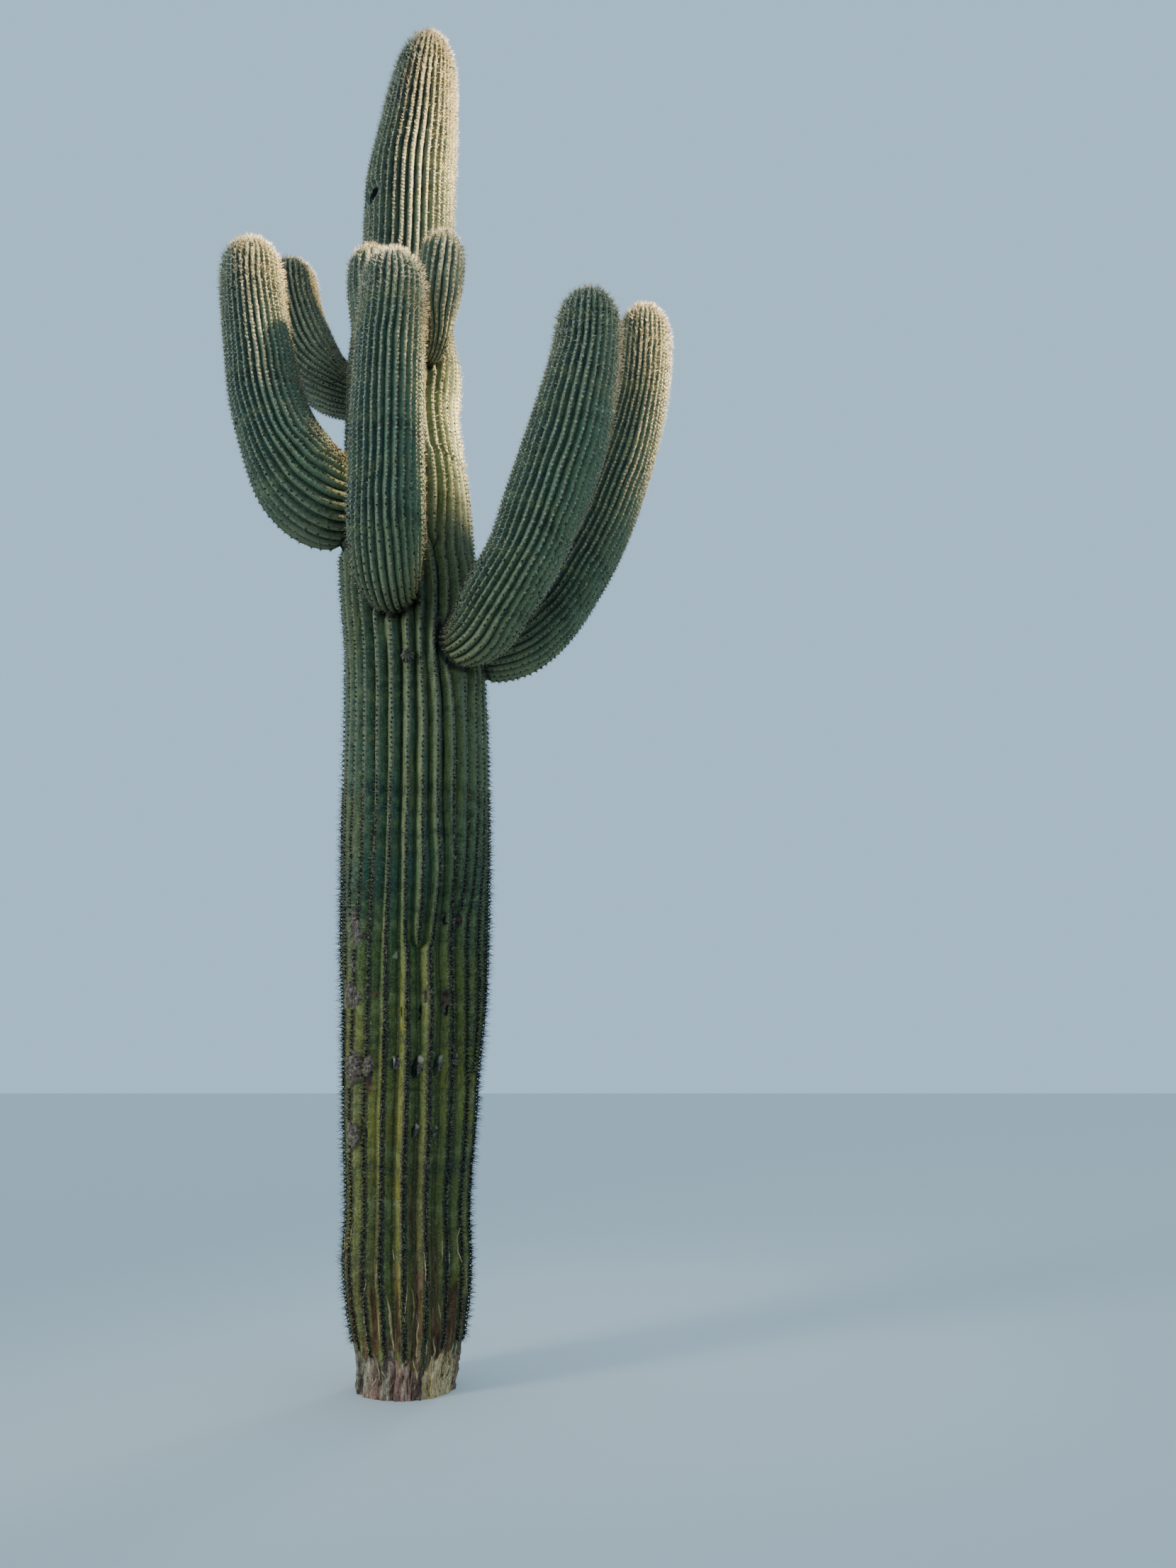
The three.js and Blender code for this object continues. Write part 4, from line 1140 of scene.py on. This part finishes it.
def build_seams():
    rng = np.random.default_rng(17)
    rows = [(list(zip(*path)), wide, 0.7) for path, wide in SEAMS]
    rows = [(az, h, wide, w) for (az, h), wide, w in rows]
    for k in range(34):  # the rest of the foot
        a = rng.uniform(345, 555) if k < 26 else rng.uniform(196, 340)
        low = rng.uniform(0.17, 0.55)
        tall = rng.uniform(0.07, 0.24)
        rows.append(([a, a + rng.uniform(-4, 4)], [low, low + tall], rng.uniform(0.004, 0.009), 1.6))
    for k in range(110):  # loose strands on the collar
        a = rng.uniform(294, 350) if k < 56 else rng.uniform(0, 360)
        low = rng.uniform(0.012, 0.1 if k >= 56 else 0.16)
        tall = rng.uniform(0.03, 0.1)
        rows.append(([a, a + rng.uniform(-7, 7)], [low, low + tall], rng.uniform(0.003, 0.007), 2.2))
    kinds = {"pale": ([], []), "brown": ([], [])}
    for k, (az, h, wide, wobble) in enumerate(rows):
        verts, faces = seam(np.array(az, float), np.array(h, float), wide, wobble, k)
        v, f = kinds["brown" if k % 5 == 4 and k > len(SEAMS) else "pale"]
        f.append(faces + sum(len(x) for x in v))
        v.append(verts)
    for key, (v, f) in kinds.items():
        t = Tree(f"cork_{key}")
        stops = (
            [(0.3, "#6a5239"), (0.5, "#a58c66"), (0.7, "#cfbd92")]
            if key == "pale"
            else [(0.3, "#2c1d13"), (0.5, "#5a4230"), (0.7, "#80684f")]
        )
        grain = t.noise(55, t.place((1, 1, 0.35)), 4, 0.65)
        t.put(t.shader.inputs["Base Color"], t.colours(grain, stops))
        t.put(t.shader.inputs["Roughness"], t.ramp(grain, 0.3, 0.7, 0.95, 0.8))
        t.shader.inputs["Specular IOR Level"].default_value = 0.25
        t.put(t.shader.inputs["Normal"], t.bump(grain, 0.5, 0.002))
        joined(f"cork_seams_{key}", np.concatenate(v), np.concatenate(f), t.material)


# ---- areoles and spines --------------------------------------------------------
# Shares of dark, grey, beige and cream spines, then length of the outer and the
# middle spines (metres) and how many of each, by height on the trunk and by share of
# an arm's length, and last the share of dark areoles.
TRUNK_SPINES = [
    [0.15, 0.74, 0.24, 0.02, 0.0, 0.02, 0.041, 10, 4, 1.0],
    [2.2, 0.66, 0.31, 0.03, 0.0, 0.02, 0.044, 9, 4, 1.0],
    [2.8, 0.52, 0.4, 0.08, 0.0, 0.016, 0.036, 7, 3, 0.65],
    [3.6, 0.5, 0.38, 0.12, 0.0, 0.012, 0.027, 7, 3, 0.4],
    [4.3, 0.2, 0.4, 0.28, 0.12, 0.012, 0.024, 7, 2, 0.15],
    [5.2, 0.05, 0.34, 0.39, 0.22, 0.012, 0.024, 7, 2, 0.0],
    [6.2, 0.02, 0.26, 0.4, 0.32, 0.012, 0.026, 7, 2, 0.0],
    [6.9, 0.05, 0.14, 0.34, 0.47, 0.014, 0.034, 6, 3, 0.0],
    [7.2, 0.13, 0.12, 0.2, 0.55, 0.013, 0.036, 6, 4, 0.08],
    [7.4, 0.15, 0.1, 0.15, 0.6, 0.013, 0.036, 6, 4, 0.1],
]
ARM_SPINES = [
    [0.0, 0.66, 0.22, 0.12, 0.0, 0.011, 0.022, 6, 2, 1.0],
    [0.2, 0.44, 0.36, 0.16, 0.04, 0.011, 0.02, 6, 2, 0.6],
    [0.38, 0.1, 0.46, 0.3, 0.14, 0.012, 0.022, 7, 2, 0.08],
    [0.7, 0.04, 0.36, 0.36, 0.24, 0.012, 0.024, 7, 2, 0.0],
    [0.88, 0.06, 0.2, 0.32, 0.42, 0.015, 0.032, 6, 4, 0.04],
    [0.96, 0.15, 0.14, 0.2, 0.51, 0.013, 0.034, 6, 4, 0.1],
    [1.0, 0.16, 0.12, 0.17, 0.55, 0.013, 0.034, 6, 4, 0.12],
]
SPINE_KINDS = {
    "dark": ("#1b1612", 0.6), "grey": ("#77776a", 0.5),
    "beige": ("#b49a68", 0.5), "cream": ("#efe4c4", 0.45),
}
PAD_KINDS = {"old": ("#1d1712", 0.9), "mid": ("#a9a58c", 0.9), "young": ("#d2c6a2", 0.9)}
SPINE_MATERIALS = {k: plain_material(f"spine_{k}", *v) for k, v in SPINE_KINDS.items()}
PAD_MATERIALS = {k: plain_material(f"areole_{k}", *v) for k, v in PAD_KINDS.items()}


def unit(v):
    return v / np.maximum(np.linalg.norm(v, axis=-1, keepdims=True), 1e-12)


def joined(name, verts, faces, material):
    """One piece from many small closed shapes of triangles."""
    mesh = bpy.data.meshes.new(name)
    mesh.vertices.add(len(verts))
    mesh.vertices.foreach_set("co", verts.astype(np.float32).ravel())
    mesh.loops.add(faces.size)
    mesh.loops.foreach_set("vertex_index", faces.astype(np.int32).ravel())
    mesh.polygons.add(len(faces))
    mesh.polygons.foreach_set("loop_start", np.arange(0, faces.size, 3, dtype=np.int32))
    mesh.update(calc_edges=True)
    mesh.materials.append(material)
    piece = bpy.data.objects.new(name, mesh)
    bpy.context.scene.collection.objects.link(piece)
    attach(piece, "root")
    return piece


def cones(base, way, length, wide):
    """Thin closed three-sided spines, four triangles each."""
    helper = np.where(np.abs(way[:, 2:3]) > 0.9, [[1.0, 0, 0]], [[0, 0, 1.0]])
    u = unit(np.cross(way, helper))
    v = np.cross(way, u)
    base = base - way * 0.001
    corners = [
        base + (u * math.cos(x) + v * math.sin(x)) * wide[:, None] / 2
        for x in (0, TAU / 3, 2 * TAU / 3)
    ]
    tip = base + way * length[:, None]
    verts = np.stack([*corners, tip], 1).reshape(-1, 3)
    at = (np.arange(len(base)) * 4)[:, None, None]
    faces = at + np.array([[0, 1, 3], [1, 2, 3], [2, 0, 3], [0, 2, 1]])
    return verts, faces.reshape(-1, 3)


def pads(base, n, up, size):
    """Low pointed areole cushions, six triangles each."""
    side = np.cross(up, n)
    ring = [
        base - n * 0.0008 + side * (x * size)[:, None] + up * (y * size)[:, None]
        for x, y in ((0.85, 0.35), (-0.35, 1.15), (-0.85, -0.35), (0.35, -1.15))
    ]
    verts = np.stack([*ring, base + n * (0.7 * size)[:, None]], 1).reshape(-1, 3)
    at = (np.arange(len(base)) * 5)[:, None, None]
    sides = [[i, (i + 1) % 4, 4] for i in range(4)]
    faces = at + np.array(sides + [[0, 2, 1], [0, 3, 2]])
    return verts, faces.reshape(-1, 3)


def plant(label, at, n, up, table, where, rng, thin=None):
    """Areoles at the points at, with outward normals n and the rib's direction up."""
    if thin is not None:
        keep = rng.random(len(at)) < thin
        at, n, up, where = at[keep], n[keep], up[keep], where[keep]
    n = unit(n)
    up = unit(up - n * (up * n).sum(1, keepdims=True))
    side = np.cross(up, n)
    count = len(at)
    at = at + up * rng.normal(0, 0.0018, (count, 1)) + side * rng.normal(0, 0.0014, (count, 1))
    old = np.array([along(table, k, where) for k in range(1, 10)])
    # pads
    size = (0.005 + 0.0018 * smooth(0.1, 0.5, old[2] + old[3])) * rng.uniform(0.75, 1.25, count)
    kind = np.where(
        rng.random(count) < old[8], 0, np.where(rng.random(count) < old[3] * 1.1, 2, 1)
    )
    for i, key in enumerate(PAD_KINDS):
        pick = kind == i
        if pick.sum() > 3:
            verts, faces = pads(at[pick], n[pick], up[pick], size[pick])
            joined(f"areoles_{label}_{key}", verts, faces, PAD_MATERIALS[key])
    bases, ways, lengths, wides = [], [], [], []
    kinds = []
    lots = old[:4] / old[:4].sum(0)
    steps = np.cumsum(lots, 0)
    for middle in (False, True):
        most = int(old[7 if middle else 6].max() + 0.5)
        for i in range(most):
            have = rng.random(count) < old[7 if middle else 6] - i
            m = have.sum()
            if not m:
                continue
            if middle:
                phi = rng.uniform(0, TAU, m)
                rise = np.radians(rng.uniform(38, 82, m))
                length = old[5][have] * rng.uniform(0.6, 1.15, m)
                wide = rng.uniform(0.0024, 0.003, m)
            else:
                phi = TAU * i / 7 + rng.normal(0, 0.22, m)
                rise = np.radians(rng.uniform(6, 38, m))
                length = old[4][have] * rng.uniform(0.7, 1.25, m)
                wide = rng.uniform(0.002, 0.0027, m)
            flat = up[have] * np.sin(phi)[:, None] + side[have] * np.cos(phi)[:, None]
            way = unit(n[have] * np.sin(rise)[:, None] + flat * np.cos(rise)[:, None])
            bases.append(at[have] + flat * 0.0022 + n[have] * 0.0012)
            ways.append(way), lengths.append(length), wides.append(wide)
            lot = rng.random(m)
            kinds.append((lot[None, :] > steps[:, have]).sum(0).clip(0, 3))
    base, way = np.concatenate(bases), np.concatenate(ways)
    length, wide = np.concatenate(lengths), np.concatenate(wides)
    kinds = np.concatenate(kinds)
    for i, key in enumerate(SPINE_KINDS):
        pick = kinds == i
        if pick.sum() > 3:
            verts, faces = cones(base[pick], way[pick], length[pick], wide[pick])
            verts[:, 2] = np.maximum(verts[:, 2], 0.002)
            joined(f"spines_{label}_{key}", verts, faces, SPINE_MATERIALS[key])


def rib_way(points):
    return unit(np.gradient(points, axis=0))


build_seams()


ring = np.arange(len(z))
upward = rib_way(points)
gap = feet_gap(points[:, T_CRESTS].reshape(-1, 3)).reshape(len(z), len(T_CRESTS))
spacing = trunk_r.max(1) * TAU / 30
rng = np.random.default_rng(5)
for k in range(SECTIONS):
    spot, out, up, where, thin = [], [], [], [], []
    for c, col in enumerate(T_CRESTS):
        on = areole_rows(ring, T_RIB[col], z) & (trunk_knots[:, col] < 0.5)
        on &= (ring >= cuts[k]) & (ring < cuts[k + 1]) & (gap[:, c] > 0.012)
        # none in the old nest hole or against its rim
        across = np.radians(turned(trunk_angle[:, col] - HOLE[0])) * 0.248
        on &= (across / HOLE[2]) ** 2 + ((z - HOLE[1]) / HOLE[3]) ** 2 > 4.4
        if T_NEW[col]:
            born = RIB_STARTS[sorted(RIB_STARTS)[int(T_NEW[T_CRESTS[:c]].sum())]]
            on &= z > born + 0.02
        on &= z > 0.19 + 0.05 * noise(T_RIB[col] * 2.3, 0.5, 61)
        j = np.flatnonzero(on)
        spot.append(points[j, col])
        radial = np.stack([points[j, col, 0] - trunk_x(z[j]), points[j, col, 1], 0 * z[j]], 1)
        w = upward[j, col]
        radial = unit(radial) - w * (unit(radial) * w).sum(1, keepdims=True)
        out.append(unit(radial))
        up.append(w)
        where.append(z[j])
        thin.append(np.clip(spacing[j] / 0.01, 0.15, 1))
    plant(
        f"trunk_{k + 1}", *map(np.concatenate, (spot, out, up)), TRUNK_SPINES,
        np.concatenate(where), rng, np.concatenate(thin),
    )
for name, made in arms.items():
    p, w = made["points"], rib_way(made["points"])
    j, c = np.meshgrid(np.arange(len(made["s"])), made["crests"], indexing="ij")
    on = (j + made["rib"][c] * 2 % 3) % 3 == 0
    on &= (made["off"][j, c] > 0.006) & (made["knots"][j, c] < 0.5)
    j, c = j[on], c[on]
    line = np.stack([np.interp(made["s"][j], ARMS[name]["run"], ARMS[name]["curve"][:, k]) for k in range(3)], 1)
    radial = unit(p[j, c] - line)
    radial = unit(radial - w[j, c] * (radial * w[j, c]).sum(1, keepdims=True))
    around = np.linalg.norm(p[j, c] - line, axis=1) * TAU / ARMS[name]["ribs"]
    plant(
        name, p[j, c], radial, w[j, c], ARM_SPINES, made["s"][j] / made["length"], rng,
        np.clip(around / 0.009, 0.15, 1),
    )

# ---- light and floor ---------------------------------------------------------
world = bpy.data.worlds.new("studio")
world.use_nodes = True
world.node_tree.nodes["Background"].inputs["Color"].default_value = (0.5, 0.77, 1.0, 1)
world.node_tree.nodes["Background"].inputs["Strength"].default_value = 0.9
bpy.context.scene.world = world


def spot(name, place, aim, angle, blend, soft, energy, colour):
    data = bpy.data.lights.new(name, "SPOT")
    data.spot_size = math.radians(angle)
    data.spot_blend = blend
    data.shadow_soft_size = soft
    data.energy = energy
    data.color = colour
    o = bpy.data.objects.new(name, data)
    o.location = place
    back = np.array(place, float) - np.array(aim, float)
    flat = math.hypot(back[0], back[1])
    o.rotation_euler = (math.atan2(flat, back[2]), 0, math.atan2(back[1], back[0]) + math.pi / 2)
    bpy.context.scene.collection.objects.link(o)


spot("key", (10.2, -0.5, 11.0), (-0.05, -0.3, 6.65), 8.8, 0.8, 0.3, 68000, (1.0, 0.77, 0.45))
spot("key_right", (10.2, 3.6, 9.4), (0.95, 0.1, 5.0), 5.8, 0.8, 0.4, 88000, (1.0, 0.79, 0.48))
spot("key_left", (7.0, -0.4, 13.4), (-0.86, -0.36, 5.25), 4.8, 0.7, 0.2, 42000, (1.0, 0.78, 0.46))
spot("key_front", (9.0, -1.2, 13.0), (-0.14, -0.7, 5.42), 2.4, 0.5, 0.2, 80000, (1.0, 0.84, 0.62))
spot("key_middle", (9.0, -1.2, 12.0), (0.16, -0.06, 4.78), 3.5, 0.8, 0.3, 120000, (1.0, 0.79, 0.48))
spot("fill", (-6.5, -5.0, 1.7), (0, 0, 1.3), 34, 0.9, 1.2, 1320, (1.0, 0.93, 0.66))
spot("side", (-8.0, -6.0, 6.0), (0, 0, 3.6), 50, 0.6, 1.6, 1800, (0.76, 0.92, 1.0))
spot("back", (4.0, 9.0, 4.5), (0, 0, 2.5), 50, 0.8, 1.6, 900, (0.84, 0.93, 1.0))

floor = bpy.data.meshes.new("floor")
floor.from_pydata([(-40, -40, 0), (40, -40, 0), (40, 60, 0), (-40, 60, 0)], [], [(0, 1, 2, 3)])
pale_floor = Tree("pale_floor")
pale_floor.shader.inputs["Base Color"].default_value = (0.72, 0.71, 0.69, 1)
pale_floor.shader.inputs["Roughness"].default_value = 0.9
floor.materials.append(pale_floor.material)
ground = bpy.data.objects.new("floor", floor)
bpy.context.scene.collection.objects.link(ground)

# the warm spots light the plant and leave the floor alone
unlit = bpy.data.collections.new("unlit")
unlit.objects.link(ground)
unlit.collection_objects[0].light_linking.link_state = "EXCLUDE"
for name in ("key", "key_right", "key_left", "key_front", "key_middle"):
    bpy.data.objects[name].light_linking.receiver_collection = unlit
